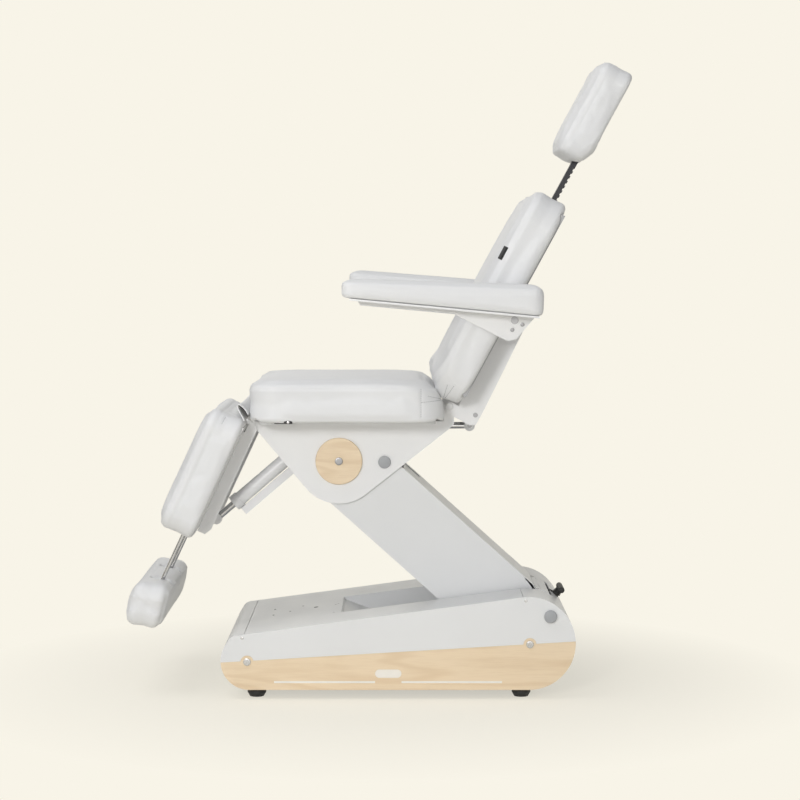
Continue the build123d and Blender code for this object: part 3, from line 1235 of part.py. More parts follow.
def make_back():
    """The back frame with its actuator lugs, the board, the cushion and its bare tag."""
    tail = [
        (BACK_TAIL_LOW, WELD),
        (BACK_TAIL_LOW, TAIL_PLATE_T),
        (BACK_TAIL_LOW / 2, BACK_REAR_T - BACK_FRAME_DEPTH - HINGE_PIN_R),
        (BACK_START * 2, BACK_REAR_T - BACK_FRAME_DEPTH - HINGE_PIN_R),
        (BACK_FRAME_LENGTH, BACK_REAR_T - BACK_FRAME_DEPTH + HINGE_PIN_R),
        (BACK_FRAME_LENGTH, BACK_REAR_T),
        (EAR_R, BACK_REAR_T),
        (EAR_R, WELD),
    ]
    outline = polygon(BACK.points(tail)) + Pos(BACK_HINGE_X, BACK_HINGE_Z) * Circle(EAR_R)
    outline = outline - Pos(BACK_HINGE_X, BACK_HINGE_Z) * Circle(HINGE_PIN_R + RUNNING_CLEARANCE)
    cross = BACK.at(BACK_START, BACK_REAR_T - BACK_FRAME_DEPTH + CROSS_TUBE_R + CROSS_TUBE_INSET)
    top_cross = BACK.at(BACK_FRAME_LENGTH - CROSS_TUBE_R * 2, BACK_REAR_T - CROSS_TUBE_R - CROSS_TUBE_INSET)
    frame = rod_y(*cross, CROSS_TUBE_R, -FRAME_INNER, FRAME_INNER)
    frame = frame + rod_y(*top_cross, CROSS_TUBE_R, -FRAME_INNER, FRAME_INNER)
    for side in (-1, 1):
        frame = frame + prism(outline, *span(side, FRAME_INNER, FRAME_OUTER))
    frame = frame - rod_y(*ARMREST_HINGE, ARMREST_SHAFT_R, -FRAME_OUTER, FRAME_OUTER)
    pin = (BACK_PIN_X, BACK_PIN_Z)
    lug = polygon(
        [
            (cross[0] - CROSS_TUBE_R / 2, cross[1]),
            (pin[0] - CLEVIS_R + CROSS_TUBE_INSET, pin[1]),
            (pin[0] + CLEVIS_R - CROSS_TUBE_INSET, pin[1]),
            (cross[0] + CROSS_TUBE_R / 2, cross[1]),
        ]
    )
    lug = lug + Pos(*pin) * Circle(CLEVIS_R) - Pos(*pin) * Circle(HINGE_PIN_R)
    for inner in (BACK_ACTUATOR_Y - CLEVIS_HALF - SHEET - CLEVIS_PLATE, BACK_ACTUATOR_Y + CLEVIS_HALF + SHEET):
        frame = frame + prism(lug, inner, inner + CLEVIS_PLATE)
    save("back_frame", frame)
    reach = CLEVIS_HALF + SHEET + CLEVIS_PLATE
    screws = [rod_y(*pin, HINGE_PIN_R, BACK_ACTUATOR_Y - reach, BACK_ACTUATOR_Y + reach)]
    x, z = BACK.at(EAR_R, TAIL_PLATE_T)
    for side in (-1, 1):
        screws.append(rod_y(x, z, FRAME_SCREW_R, *span(side, FRAME_OUTER, FRAME_OUTER + FRAME_SCREW)))
    outer = ARMREST_INNER + ARMREST_WEB
    for side in (-1, 1):
        head_r = ARMREST_SHAFT_R + ARMREST_WEB / 2
        screws.append(rod_y(*ARMREST_HINGE, head_r, *span(side, outer, outer + ARMREST_WEB / 2)))
    save("back_fixings", *screws)

    socket_half = HEAD_BAR_WIDTH / 2 + BAR_CLEARANCE + SOCKET_WALL
    socket_low = HEAD_BAR_T - HEAD_BAR_DEPTH / 2 - BAR_CLEARANCE
    socket_high = HEAD_BAR_T + HEAD_BAR_DEPTH / 2 + BAR_CLEARANCE
    end = BACK_START + BACK_LENGTH
    socket = BACK.box(
        SOCKET_START, end - SOCKET_WALL, BACK_REAR_T + BACK_BOARD, socket_high + SOCKET_WALL, -socket_half, socket_half
    )
    bore_half = HEAD_BAR_WIDTH / 2 + BAR_CLEARANCE
    bore = BACK.box(SOCKET_START - OVERRUN, end + OVERRUN, socket_low, socket_high, -bore_half, bore_half)
    save("head_socket", socket - bore)
    pocket = BACK.box(
        BAR_START - ROD_TRAVEL_IN - OVERRUN, end + OVERRUN, BACK_REAR_T, socket_high + SOCKET_WALL + SOFT_GAP,
        -socket_half - SOFT_GAP, socket_half + SOFT_GAP,
    )
    board = BACK.box(
        BACK_START + BACK_CORNER_R / 2, end - BACK_CORNER_R / 2, BACK_REAR_T, BACK_REAR_T + BACK_BOARD,
        -BACK_BOARD_HALF, BACK_BOARD_HALF,
    )
    save("back_board", board)
    pad = cushion(
        BACK.plane(BACK_CUSHION_T - BOARD_WRAP), back_ends, BACK_HALF, BACK_THICK + BOARD_WRAP, BACK_CORNER_R,
        BACK_BACK_EDGE, BACK_FRONT_EDGE, BACK_CROWN, CUSHION_DRAW, CUSHION_WAIST,
    )
    recess = BACK.box(
        BACK_START + BACK_CORNER_R / 2 - SOFT_GAP, end - BACK_CORNER_R / 2 + SOFT_GAP, BACK_REAR_T, BACK_CUSHION_T,
        -BACK_BOARD_HALF - SOFT_GAP, BACK_BOARD_HALF + SOFT_GAP,
    )
    save("back_cushion", pad - pocket - recess)
    tag = BACK.box(
        TAG_V - TAG_LENGTH / 2, TAG_V + TAG_LENGTH / 2, TAG_T - TAG_WIDTH / 2, TAG_T + TAG_WIDTH / 2,
        -BACK_HALF - TAG + TAG_SEAT, -BACK_HALF + TAG_SEAT,
    )
    tag_x, tag_z = BACK.at(TAG_V, TAG_T)
    hem = Axis((tag_x, -BACK_HALF, tag_z), (BACK.along[0], 0, BACK.along[1]))
    save("back_tag", tag.rotate(hem, -TAG_LEAN))


def make_back_actuator():
    """The actuator that tilts the backrest."""
    rear = (BACK_REAR_PIVOT_X, BACK_REAR_PIVOT_Z)
    pin = (BACK_PIN_X, BACK_PIN_Z)
    tube, collar, rod = actuator(rear, pin, BACK_TUBE_LENGTH, LEG_TUBE_R, BACK_ROD_INSIDE, BACK_ACTUATOR_Y)
    save("back_actuator_tube", tube, collar)
    save("back_actuator_rod", rod)


BACK_TUBE_LENGTH = 262.0
BACK_ROD_INSIDE = 190.0
HEAD_CORNER_R = 42.0
HEAD_BACK_EDGE = 14.0
HEAD_FRONT_EDGE = 26.0
HEAD_CROWN = 5.0
HEAD_BAR_INSIDE = 90.0
HEAD_END_SLOPE = 40.0
HEAD_START_REAR = 52.0
TOOTH_PITCH = 14.0
TOOTH_DEPTH = 2.5
TOOTH_COUNT = 12


def head_ends(height):
    """Lower and upper ends of the head cushion at a height over its board."""
    fall = min(max(HEAD_END_SLOPE + BOARD_WRAP - height, 0) / HEAD_END_SLOPE, 1)
    return HEAD_START + HEAD_START_REAR * fall, HEAD_START + HEAD_LENGTH


def make_headrest():
    """The toothed bar, its board and the head cushion."""
    low = HEAD_BAR_T - HEAD_BAR_DEPTH / 2
    high = HEAD_BAR_T + HEAD_BAR_DEPTH / 2
    half = HEAD_BAR_WIDTH / 2
    bar_end = HEAD_START + HEAD_START_REAR + HEAD_BAR_INSIDE
    bar = BACK.box(BAR_START, bar_end, low, high, -half, half)
    for step in range(TOOTH_COUNT):
        start = HEAD_START - (step + 1) * TOOTH_PITCH
        bar = bar - BACK.box(start, start + TOOTH_PITCH / 2, low - OVERRUN, low + TOOTH_DEPTH, -OVERRUN, OVERRUN)
    save("head_bar", bar)
    board_low = HEAD_START + HEAD_START_REAR + HEAD_CORNER_R / 2
    board = BACK.box(
        board_low, HEAD_START + HEAD_LENGTH - HEAD_CORNER_R / 2, HEAD_REAR_T, HEAD_REAR_T + HEAD_BOARD,
        -HEAD_HALF + HEAD_CORNER_R / 2, HEAD_HALF - HEAD_CORNER_R / 2,
    )
    lift = BACK.box(board_low, bar_end, HEAD_REAR_T + HEAD_BOARD, low, -half, half)
    save("head_board", board + lift)
    pocket = BACK.box(
        HEAD_START - OVERRUN, bar_end + SOFT_GAP, HEAD_REAR_T, high + SOFT_GAP, -half - SOFT_GAP, half + SOFT_GAP
    )
    front = HEAD_REAR_T + HEAD_BOARD + SOFT_GAP
    pad = cushion(
        BACK.plane(front - BOARD_WRAP), head_ends, HEAD_HALF, HEAD_THICK + BOARD_WRAP, HEAD_CORNER_R,
        HEAD_BACK_EDGE, HEAD_FRONT_EDGE, HEAD_CROWN, CUSHION_DRAW, CUSHION_WAIST,
    )
    recess = BACK.box(
        board_low - SOFT_GAP, HEAD_START + HEAD_LENGTH - HEAD_CORNER_R / 2 + SOFT_GAP, HEAD_REAR_T, front,
        -HEAD_HALF + HEAD_CORNER_R / 2 - SOFT_GAP, HEAD_HALF - HEAD_CORNER_R / 2 + SOFT_GAP,
    )
    save("head_cushion", pad - pocket - recess)


ARMREST_HINGE = BACK.at(ARMREST_V, BACK_REAR_T - ARMREST_SHAFT_R - ARMREST_SHAFT_WALL)
ARMREST_TOP_DEG = -1.9
ARMREST_LOW_DEG = -5.4
ARMREST_CORNER_R = (ARMREST_OUTER - ARMREST_INNER) * 0.3
ARMREST_BACK_EDGE = (ARMREST_OUTER - ARMREST_INNER) * 0.12
ARMREST_FRONT_EDGE = (ARMREST_OUTER - ARMREST_INNER) * 0.165
ARMREST_CROWN = 4.0
ARMREST_DRAW = 1.5
ARMREST_BOARD = 5.0
ARMREST_BOARD_INSET = 12.0
ARMREST_LIP = 11.0
ARMREST_HUB_R = 46.0
ARMREST_FAR_LIFT = 2.6


def lifted(side, shape):
    """An armrest piece where it stands at rest: the far one is a little raised about the shaft."""
    if side < 0:
        return shape
    x, z = BACK.at(ARMREST_V, BACK_REAR_T - ARMREST_SHAFT_R - ARMREST_SHAFT_WALL)
    return Pos(x, 0, z) * Rot(0, ARMREST_FAR_LIFT, 0) * Pos(-x, 0, -z) * shape


def armrest_low(share, drop):
    """A place along the underside of an armrest pad, dropped below it."""
    x = ARMREST_TIP_X + (ARMREST_REAR_X - ARMREST_TIP_X) * share
    return (x, ARMREST_TIP_Z + (x - ARMREST_TIP_X) * tan(radians(ARMREST_LOW_DEG)) - drop)


def armrest_plane(side, height):
    """The working plane of an armrest pad layer, fanning out from its tip."""
    share = height / ARMREST_TIP_THICK
    lean = radians(ARMREST_LOW_DEG + (ARMREST_TOP_DEG - ARMREST_LOW_DEG) * min(share, 1))
    origin = (ARMREST_TIP_X, side * (ARMREST_INNER + ARMREST_OUTER) / 2, ARMREST_TIP_Z + height)
    return Plane(origin=origin, x_dir=(cos(lean), 0, sin(lean)), z_dir=(-sin(lean), 0, cos(lean)))


def make_armrests():
    """The shaft behind the backrest and, on each side, a bracket, its board and a tapered pad."""
    shaft_end = ARMREST_INNER + ARMREST_WEB
    save("armrest_shaft", rod_y(*ARMREST_HINGE, ARMREST_SHAFT_R, -shaft_end, shaft_end))
    x, z = ARMREST_HINGE
    outline = polygon(
        [
            armrest_low(0.07, SOFT_GAP),
            armrest_low(0.09, SOFT_GAP + ARMREST_BOARD + ARMREST_LIP),
            armrest_low(0.56, SOFT_GAP + ARMREST_BOARD + ARMREST_LIP),
            (x - ARMREST_HUB_R * 0.85, z - ARMREST_HUB_R * 0.88),
            (x - ARMREST_HUB_R * 0.35, z - ARMREST_HUB_R * 1.12),
            (x + ARMREST_HUB_R * 0.1, z - ARMREST_HUB_R),
            armrest_low(0.96, SOFT_GAP + ARMREST_BOARD),
            armrest_low(0.96, SOFT_GAP),
        ]
    )
    outline = outline - Pos(x, z) * Circle(ARMREST_SHAFT_R + RUNNING_CLEARANCE)
    for side, name in ((-1, "near"), (1, "far")):
        web = prism(outline, *span(side, ARMREST_INNER, ARMREST_INNER + ARMREST_WEB))
        board_face = polygon(
            [
                armrest_low(0.04, SOFT_GAP + ARMREST_BOARD),
                armrest_low(0.975, SOFT_GAP + ARMREST_BOARD),
                armrest_low(0.975, SOFT_GAP),
                armrest_low(0.04, SOFT_GAP),
            ]
        )
        board = prism(board_face, *span(side, ARMREST_INNER, ARMREST_OUTER - ARMREST_BOARD_INSET / 2))
        save(f"armrest_bracket_{name}", lifted(side, web + board))
        save(f"armrest_pad_{name}", lifted(side, armrest_pad(side)))
    fixings = []
    for side in (-1, 1):
        outer = ARMREST_INNER + ARMREST_WEB
        for dx, dz in ((0.48, -0.34), (-0.06, -0.62)):
            place = (x + ARMREST_HUB_R * dx, z + ARMREST_HUB_R * dz)
            screw = rod_y(*place, SMALL_SCREW_R * 1.25, *span(side, outer, outer + ARMREST_WEB / 2))
            fixings.append(lifted(side, screw))
    save("armrest_screws_near", fixings[0], fixings[1])
    save("armrest_screws_far", fixings[2], fixings[3])


def armrest_pad(side):
    """A tapered armrest pad with rounded seams and a low crown."""
    half = (ARMREST_OUTER - ARMREST_INNER) / 2
    length = ARMREST_REAR_X - ARMREST_TIP_X
    grow = (ARMREST_REAR_THICK - ARMREST_TIP_THICK) / ARMREST_TIP_THICK
    rows = []
    for share in EDGE_STEP_SHARES:
        rows.append((ARMREST_BACK_EDGE * share, ARMREST_BACK_EDGE * (1 - sqrt(1 - (1 - share) ** 2))))
    for share in EDGE_STEP_SHARES:
        height = ARMREST_TIP_THICK - ARMREST_FRONT_EDGE * (1 - share)
        rows.append((height, ARMREST_FRONT_EDGE * (1 - sqrt(1 - share**2))))
    for share in CROWN_STEP_SHARES:
        reach = (half - ARMREST_FRONT_EDGE) * CROWN_REACH_SHARE
        rows.append((ARMREST_TIP_THICK + ARMREST_CROWN * (1 - (1 - share) ** 2), ARMREST_FRONT_EDGE + reach * share))
    layers = []
    for height, inset in rows:
        radius = max(ARMREST_CORNER_R - inset, ARMREST_CORNER_R / 4)
        face = layer(inset, length - inset, half - inset, radius, ARMREST_DRAW)
        layers.append(armrest_plane(side, height) * face)
    return loft(layers, ruled=True)


def main():
    """Builds and writes every node."""
    os.makedirs("parts", exist_ok=True)
    make_base_covers()
    make_pedal()
    make_base_fixings()
    make_wood_panels()
    make_chassis()
    make_feet()
    make_base_inside()
    make_lift_actuator()
    make_lift_arm()
    make_carrier()
    make_carrier_trim()
    make_seat()
    make_leg_actuator()
    make_leg()
    make_foot_rest()
    make_back()
    make_back_actuator()
    make_headrest()
    make_armrests()


main()
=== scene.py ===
"""An electric treatment chair on a maple-clad base, dressed over its solid model.

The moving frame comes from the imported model. This script gives every rigid piece its finish, sews the
upholstery over the foam blocks, cuts the recesses of the fixings, and sets the studio and the camera.
Metres throughout: X runs to the head end, Y across the chair to the far side, and Z up from the floor.
"""

from __future__ import annotations

import json
import logging
import math
from collections.abc import Callable, Iterable, Iterator, Mapping, Sequence
from contextlib import contextmanager
from dataclasses import dataclass, field
from enum import Enum
from itertools import groupby
from types import MappingProxyType

import bpy
import numpy as np
from mathutils import Matrix, Vector
from mathutils.bvhtree import BVHTree

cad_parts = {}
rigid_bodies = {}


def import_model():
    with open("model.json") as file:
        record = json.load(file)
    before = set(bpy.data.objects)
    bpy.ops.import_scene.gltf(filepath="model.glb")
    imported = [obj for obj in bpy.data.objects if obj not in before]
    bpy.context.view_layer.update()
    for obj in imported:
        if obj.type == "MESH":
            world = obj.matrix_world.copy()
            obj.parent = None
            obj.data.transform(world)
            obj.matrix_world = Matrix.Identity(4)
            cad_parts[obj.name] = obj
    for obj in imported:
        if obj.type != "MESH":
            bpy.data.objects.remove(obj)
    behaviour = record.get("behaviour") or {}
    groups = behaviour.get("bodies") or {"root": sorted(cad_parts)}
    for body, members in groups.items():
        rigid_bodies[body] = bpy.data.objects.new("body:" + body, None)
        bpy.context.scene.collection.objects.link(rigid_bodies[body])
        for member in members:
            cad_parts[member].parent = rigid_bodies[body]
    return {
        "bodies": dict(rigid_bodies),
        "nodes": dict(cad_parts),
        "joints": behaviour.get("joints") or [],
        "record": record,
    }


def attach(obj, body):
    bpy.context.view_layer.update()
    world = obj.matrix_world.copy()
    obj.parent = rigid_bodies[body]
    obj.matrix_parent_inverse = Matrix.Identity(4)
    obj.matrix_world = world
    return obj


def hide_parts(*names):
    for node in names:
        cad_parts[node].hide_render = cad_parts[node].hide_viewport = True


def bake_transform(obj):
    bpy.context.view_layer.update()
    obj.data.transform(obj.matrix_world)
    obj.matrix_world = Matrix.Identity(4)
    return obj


LOG = logging.getLogger("treatment_chair")
MM = 0.001
NEAR = -1
FAR = 1
SIDES = (NEAR, FAR)
MERGE = 0.01 * MM
NO_INPUTS: Mapping[str, object] = MappingProxyType({})
Piece = bpy.types.Object
Node = bpy.types.Node
Socket = bpy.types.NodeSocket
Triple = tuple[float, float, float]
Colour = Triple
Place = tuple[float, float]
Spot = tuple[Vector, Vector, float]


def mm(*sizes: float) -> tuple[float, ...]:
    """Millimetres as metres."""
    return tuple(size * MM for size in sizes)


class Body(str, Enum):
    """The rigid bodies of the chair that dressed pieces ride on."""

    ROOT = "root"
    LIFT_ARM = "lift_arm"
    PEDAL = "pedal"
    CARRIER = "carrier"
    LEG = "leg"
    FOOT = "foot"
    BACK = "back"
    HEAD = "head"
    ARMREST_NEAR = "armrest_near"
    ARMREST_FAR = "armrest_far"


ARMRESTS = {Body.ARMREST_NEAR: "near", Body.ARMREST_FAR: "far"}


class Slot(str, Enum):
    """The record's material slot names, passed along with new pieces."""

    UPHOLSTERY = "upholstery"
    BRIGHT_STEEL = "bright_steel"
    GREY_PLASTIC = "grey_plastic"
    BLACK_RUBBER = "black_rubber"
    LABEL = "label_black"
    FRAME_PAINT = "frame_paint"
    COVER_PAINT = "cover_paint"


class Recess(Enum):
    """What is cut into the head of a fixing."""

    CROSS = "cross"
    HEX = "hex"
    PLAIN = "plain"


def clear_selection() -> None:
    """Leaves every object deselected and none active."""
    if bpy.context.object is not None and bpy.context.object.mode != "OBJECT":
        bpy.ops.object.mode_set(mode="OBJECT")
    for item in list(bpy.context.selected_objects):
        item.select_set(False)
    bpy.context.view_layer.objects.active = None


def make_active(item: Piece) -> None:
    """Selects one object alone and makes it active."""
    clear_selection()
    item.select_set(True)
    bpy.context.view_layer.objects.active = item


def settle(item: Piece) -> None:
    """Moves an object's place, turn and scale into its mesh, so that it sits at the origin."""
    make_active(item)
    bpy.ops.object.transform_apply(location=True, rotation=True, scale=True)


@contextmanager
def editing(item: Piece) -> Iterator[None]:
    """Edit mode on one object, with its whole mesh selected."""
    make_active(item)
    bpy.ops.object.mode_set(mode="EDIT")
    bpy.ops.mesh.select_all(action="SELECT")
    yield
    bpy.ops.object.mode_set(mode="OBJECT")


def face_outward(item: Piece) -> None:
    """Makes all the faces of a mesh look the same way out."""
    with editing(item):
        bpy.ops.mesh.normals_make_consistent(inside=False)


def primitive(
    add: Callable[..., object], name: str, scale: Sequence[float] = (1.0, 1.0, 1.0), **settings: object
) -> Piece:
    """Adds one of Blender's plain shapes.

    Args:
        add: The operator that adds it.
        name: The piece's name.
        scale: How it is stretched along each axis.
        settings: The operator's own settings.

    Returns:
        The shape, with its place and scale in its mesh.
    """
    clear_selection()
    add(**settings)
    piece = bpy.context.object
    piece.name = name
    piece.scale = scale
    settle(piece)
    return piece


def add_modifier(item: Piece, kind: str, **settings: object) -> None:
    """Adds a modifier with its settings and applies it.

    Args:
        item: The object that takes it.
        kind: Blender's name for the modifier.
        settings: The modifier's own properties by name.
    """
    make_active(item)
    modifier = item.modifiers.new(kind.lower(), kind)
    for name, value in settings.items():
        setattr(modifier, name, value)
    bpy.ops.object.modifier_apply(modifier=modifier.name)


def break_edges(item: Piece, width: float, segments: int) -> None:
    """Rounds the sharp edges of a mesh."""
    add_modifier(item, "BEVEL", width=width, segments=segments, limit_method="ANGLE")


def thicken(item: Piece, thickness: float) -> None:
    """Gives a sheet its thickness, half to each side."""
    add_modifier(item, "SOLIDIFY", thickness=thickness, offset=0.0)


def smooth_by_angle(item: Piece, degrees: float) -> None:
    """Shades a mesh smooth except over edges sharper than an angle."""
    make_active(item)
    bpy.ops.object.shade_smooth_by_angle(angle=math.radians(degrees))


def smooth_all(item: Piece) -> None:
    """Shades a mesh smooth all over."""
    make_active(item)
    bpy.ops.object.shade_smooth()


def add_object(name: str, data: bpy.types.ID) -> Piece:
    """Puts a mesh, curve, lamp or camera into the scene as an object."""
    item = bpy.data.objects.new(name, data)
    bpy.context.scene.collection.objects.link(item)
    return item


def curve_to_mesh(name: str, curve: bpy.types.Curve) -> Piece:
    """Puts a curve into the scene as a mesh."""
    item = add_object(name, curve)
    make_active(item)
    bpy.ops.object.convert(target="MESH")
    return item


def copy_at(item: Piece, name: str, matrix: Matrix) -> Piece:
    """A copy of an object with its own mesh, placed by a matrix that goes into the mesh."""
    twin = add_object(name, item.data.copy())
    twin.data.transform(matrix)
    twin.data.update()
    return twin


def join(items: Sequence[Piece], name: str) -> Piece:
    """Joins several meshes into one piece and names it."""
    make_active(items[0])
    for item in items[1:]:
        item.select_set(True)
    bpy.ops.object.join()
    items[0].name = name
    return items[0]


def solid_copy(node: str, name: str) -> Piece:
    """A closed copy of a frame node's mesh, with its doubled points merged."""
    twin = add_object(name, bpy.data.objects[node].data.copy())
    twin.data.materials.clear()
    with editing(twin):
        bpy.ops.mesh.remove_doubles(threshold=MERGE)
        bpy.ops.mesh.normals_make_consistent(inside=False)
    return twin


def surface_of(*items: Piece) -> BVHTree:
    """The surface of some meshes together, for finding the nearest place on it."""
    corners = []
    faces = []
    for item in items:
        first = len(corners)
        corners += [vertex.co.copy() for vertex in item.data.vertices]
        faces += [tuple(first + corner for corner in face.vertices) for face in item.data.polygons]
    return BVHTree.FromPolygons(corners, faces)


def read_points(item: Piece) -> np.ndarray:
    """The places of a mesh's points."""
    flat = np.empty(len(item.data.vertices) * 3)
    item.data.vertices.foreach_get("co", flat)
    return flat.reshape(-1, 3)


def read_normals(item: Piece) -> np.ndarray:
    """The outward directions of a mesh's points."""
    flat = np.empty(len(item.data.vertices) * 3)
    item.data.vertex_normals.foreach_get("vector", flat)
    return flat.reshape(-1, 3)


def write_points(item: Piece, points: np.ndarray) -> None:
    """Puts a mesh's points in new places."""
    item.data.vertices.foreach_set("co", points.reshape(-1))
    item.data.update()


def soft_step(share: float) -> float:
    """A share from 0 to 1 that starts and ends gently."""
    return share * share * (3.0 - 2.0 * share)


def dress(item: Piece, material: bpy.types.Material) -> None:
    """Gives a piece one material in place of what it has."""
    item.data.materials.clear()
    item.data.materials.append(material)
    for face in item.data.polygons:
        face.material_index = 0


def hand_in(piece: Piece, slot: Slot, body: Body, *replaced: str) -> None:
    """Puts a piece on the body that it rides on and hides the nodes that it stands in for."""
    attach(piece, body.value)
    for node in replaced:
        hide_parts(node)


def rgba(colour: Colour) -> tuple[float, float, float, float]:
    """A colour with full cover."""
    return (*colour, 1.0)


def scaled(colour: Colour, factor: float, extra: float = 0.0) -> Colour:
    """A colour made darker or lighter."""
    return tuple(channel * factor + extra for channel in colour)


class NodeSheet:
    """A node tree that a finish or the backdrop is laid out on."""

    def __init__(self, tree: bpy.types.NodeTree) -> None:
        """Takes the tree that nodes are added to."""
        self.tree = tree

    def add(self, kind: str, inputs: Mapping[str | int, object] = NO_INPUTS, **settings: object) -> Node:
        """Adds a node.

        Args:
            kind: Blender's name for the kind of node.
            inputs: What each of its inputs is joined to or set to.
            settings: The node's own properties by name.

        Returns:
            The node.
        """
        node = self.tree.nodes.new(kind)
        for name, value in settings.items():
            setattr(node, name, value)
        for name, value in inputs.items():
            if isinstance(value, Socket):
                self.tree.links.new(value, node.inputs[name])
            else:
                node.inputs[name].default_value = value
        return node

    def calculate(self, operation: str, first: object, second: object = 0.0) -> Socket:
        """The result of one operation on two values."""
        return self.add("ShaderNodeMath", {0: first, 1: second}, operation=operation).outputs["Value"]

    def reach(self, value: Socket, low: float, high: float, to_low: float, to_high: float) -> Socket:
        """A value carried from one range to another."""
        inputs = {"Value": value, "From Min": low, "From Max": high, "To Min": to_low, "To Max": to_high}
        return self.add("ShaderNodeMapRange", inputs).outputs["Result"]

    def mix_shaders(self, share: object, first: Node, second: Node) -> Node:
        """A shader between two others."""
        return self.add("ShaderNodeMixShader", {"Fac": share, 1: first.outputs[0], 2: second.outputs[0]})

    def seen(self) -> Socket:
        """One where a ray comes from the camera, a mirror or glass, for the plain backdrop colour."""
        path = self.add("ShaderNodeLightPath")
        total = path.outputs["Is Camera Ray"]
        for name in ("Is Glossy Ray", "Is Transmission Ray"):
            total = self.calculate("MAXIMUM", total, path.outputs[name])
        return total


class SurfaceSheet(NodeSheet):
    """The node tree of one surface, with its principled shader."""

    def __init__(self, name: str, **values: object) -> None:
        """Starts a material and sets its shader's sockets, with underscores for spaces."""
        self.material = bpy.data.materials.new(name)
        self.material.use_nodes = True
        super().__init__(self.material.node_tree)
        self.shader = self.tree.nodes["Principled BSDF"]
        self.place = self.add("ShaderNodeTexCoord").outputs["Object"]
        for socket, value in values.items():
            self.shader.inputs[socket.replace("_", " ")].default_value = value

    def mapped(self, **inputs: Sequence[float]) -> Socket:
        """Object coordinates stretched, turned or shifted."""
        return self.add("ShaderNodeMapping", {"Vector": self.place, **inputs}).outputs["Vector"]

    def noise(self, vector: Socket, scale: float, detail: float, rough: float = 0.5) -> Socket:
        """A noise pattern's value."""
        inputs = {"Vector": vector, "Scale": scale, "Detail": detail, "Roughness": rough}
        return self.add("ShaderNodeTexNoise", inputs).outputs["Fac"]

    def ramp(self, value: Socket, low: float, first: Colour, high: float, second: Colour) -> Socket:
        """A colour that goes from one at a low value to another at a high one."""
        node = self.add("ShaderNodeValToRGB", {"Fac": value})
        for element, place, colour in zip(node.color_ramp.elements, (low, high), (first, second)):
            element.position = place
            element.color = rgba(colour)
        return node.outputs["Color"]

    def tint(self, share: Socket, under: Socket, colour: Colour) -> Socket:
        """A colour laid over another by a share."""
        return self.add("ShaderNodeMix", {0: share, 6: under, 7: rgba(colour)}, data_type="RGBA").outputs[2]

    def bump(self, height: Socket, strength: float, distance: float, **under: Socket) -> Socket:
        """A bump by a height pattern, over another bump where Normal is given."""
        inputs = {"Height": height, "Strength": strength, "Distance": distance, **under}
        return self.add("ShaderNodeBump", inputs).outputs["Normal"]

    def finish(self, colour: Socket, rough: Socket, normal: Socket) -> bpy.types.Material:
        """Joins the patterns to the shader and returns the material."""
        for socket, name in ((colour, "Base Color"), (rough, "Roughness"), (normal, "Normal")):
            self.tree.links.new(socket, self.shader.inputs[name])
        return self.material


@dataclass(frozen=True)
class Upholstery:
    """White soft-touch cover: fine leather grain, slight tone drift and a soft sheen."""

    name: str = "white_upholstery"
    pale: Colour = (0.755, 0.757, 0.76)
    dull: Colour = (0.72, 0.722, 0.725)
    grain: float = 620.0
    grain_turn: Triple = (0.4, 0.2, 0.7)
    grain_depth: float = 0.25 * MM
    fold_depth: float = 1.6 * MM

    def make(self) -> bpy.types.Material:
        """Lays out the finish."""
        sheet = SurfaceSheet(
            self.name, Specular_IOR_Level=0.42, Sheen_Weight=0.08, Sheen_Roughness=0.5, Coat_Weight=0.06,
            Coat_Roughness=0.4,
        )
        colour = sheet.ramp(sheet.noise(sheet.place, 5.5, 4.0), 0.3, self.dull, 0.7, self.pale)
        grain = {"Vector": sheet.mapped(Rotation=self.grain_turn), "Scale": self.grain}
        cells = sheet.add("ShaderNodeTexVoronoi", grain, feature="DISTANCE_TO_EDGE")
        pebble = sheet.reach(cells.outputs["Distance"], 0.0, 0.35, 0.0, 1.0)
        fine = sheet.bump(pebble, 0.16, self.grain_depth)
        normal = sheet.bump(sheet.noise(sheet.place, 26.0, 3.0), 0.10, self.fold_depth, Normal=fine)
        rough = sheet.reach(sheet.noise(sheet.place, 90.0, 3.0), 0.3, 0.7, 0.47, 0.56)
        return sheet.finish(colour, rough, normal)


@dataclass(frozen=True)
class PowderCoat:
    """Baked powder paint on sheet steel: orange-peel skin and faint handling marks."""

    name: str
    colour: Colour
    rough_low: float = 0.34
    rough_high: float = 0.44
    peel: float = 420.0
    peel_depth: float = 0.2 * MM
    wipe: Triple = (6.0, 6.0, 30.0)

    def make(self) -> bpy.types.Material:
        """Lays out the finish."""
        sheet = SurfaceSheet(self.name, Specular_IOR_Level=0.5, Coat_Weight=0.12, Coat_Roughness=0.22)
        drift = sheet.noise(sheet.place, 3.0, 5.0)
        colour = sheet.ramp(drift, 0.25, scaled(self.colour, 0.95), 0.75, self.colour)
        normal = sheet.bump(sheet.noise(sheet.place, self.peel, 2.0, 0.4), 0.10, self.peel_depth)
        wipe = sheet.noise(sheet.mapped(Scale=self.wipe), 2.0, 4.0)
        rough = sheet.reach(wipe, 0.3, 0.7, self.rough_low, self.rough_high)
        return sheet.finish(colour, rough, normal)


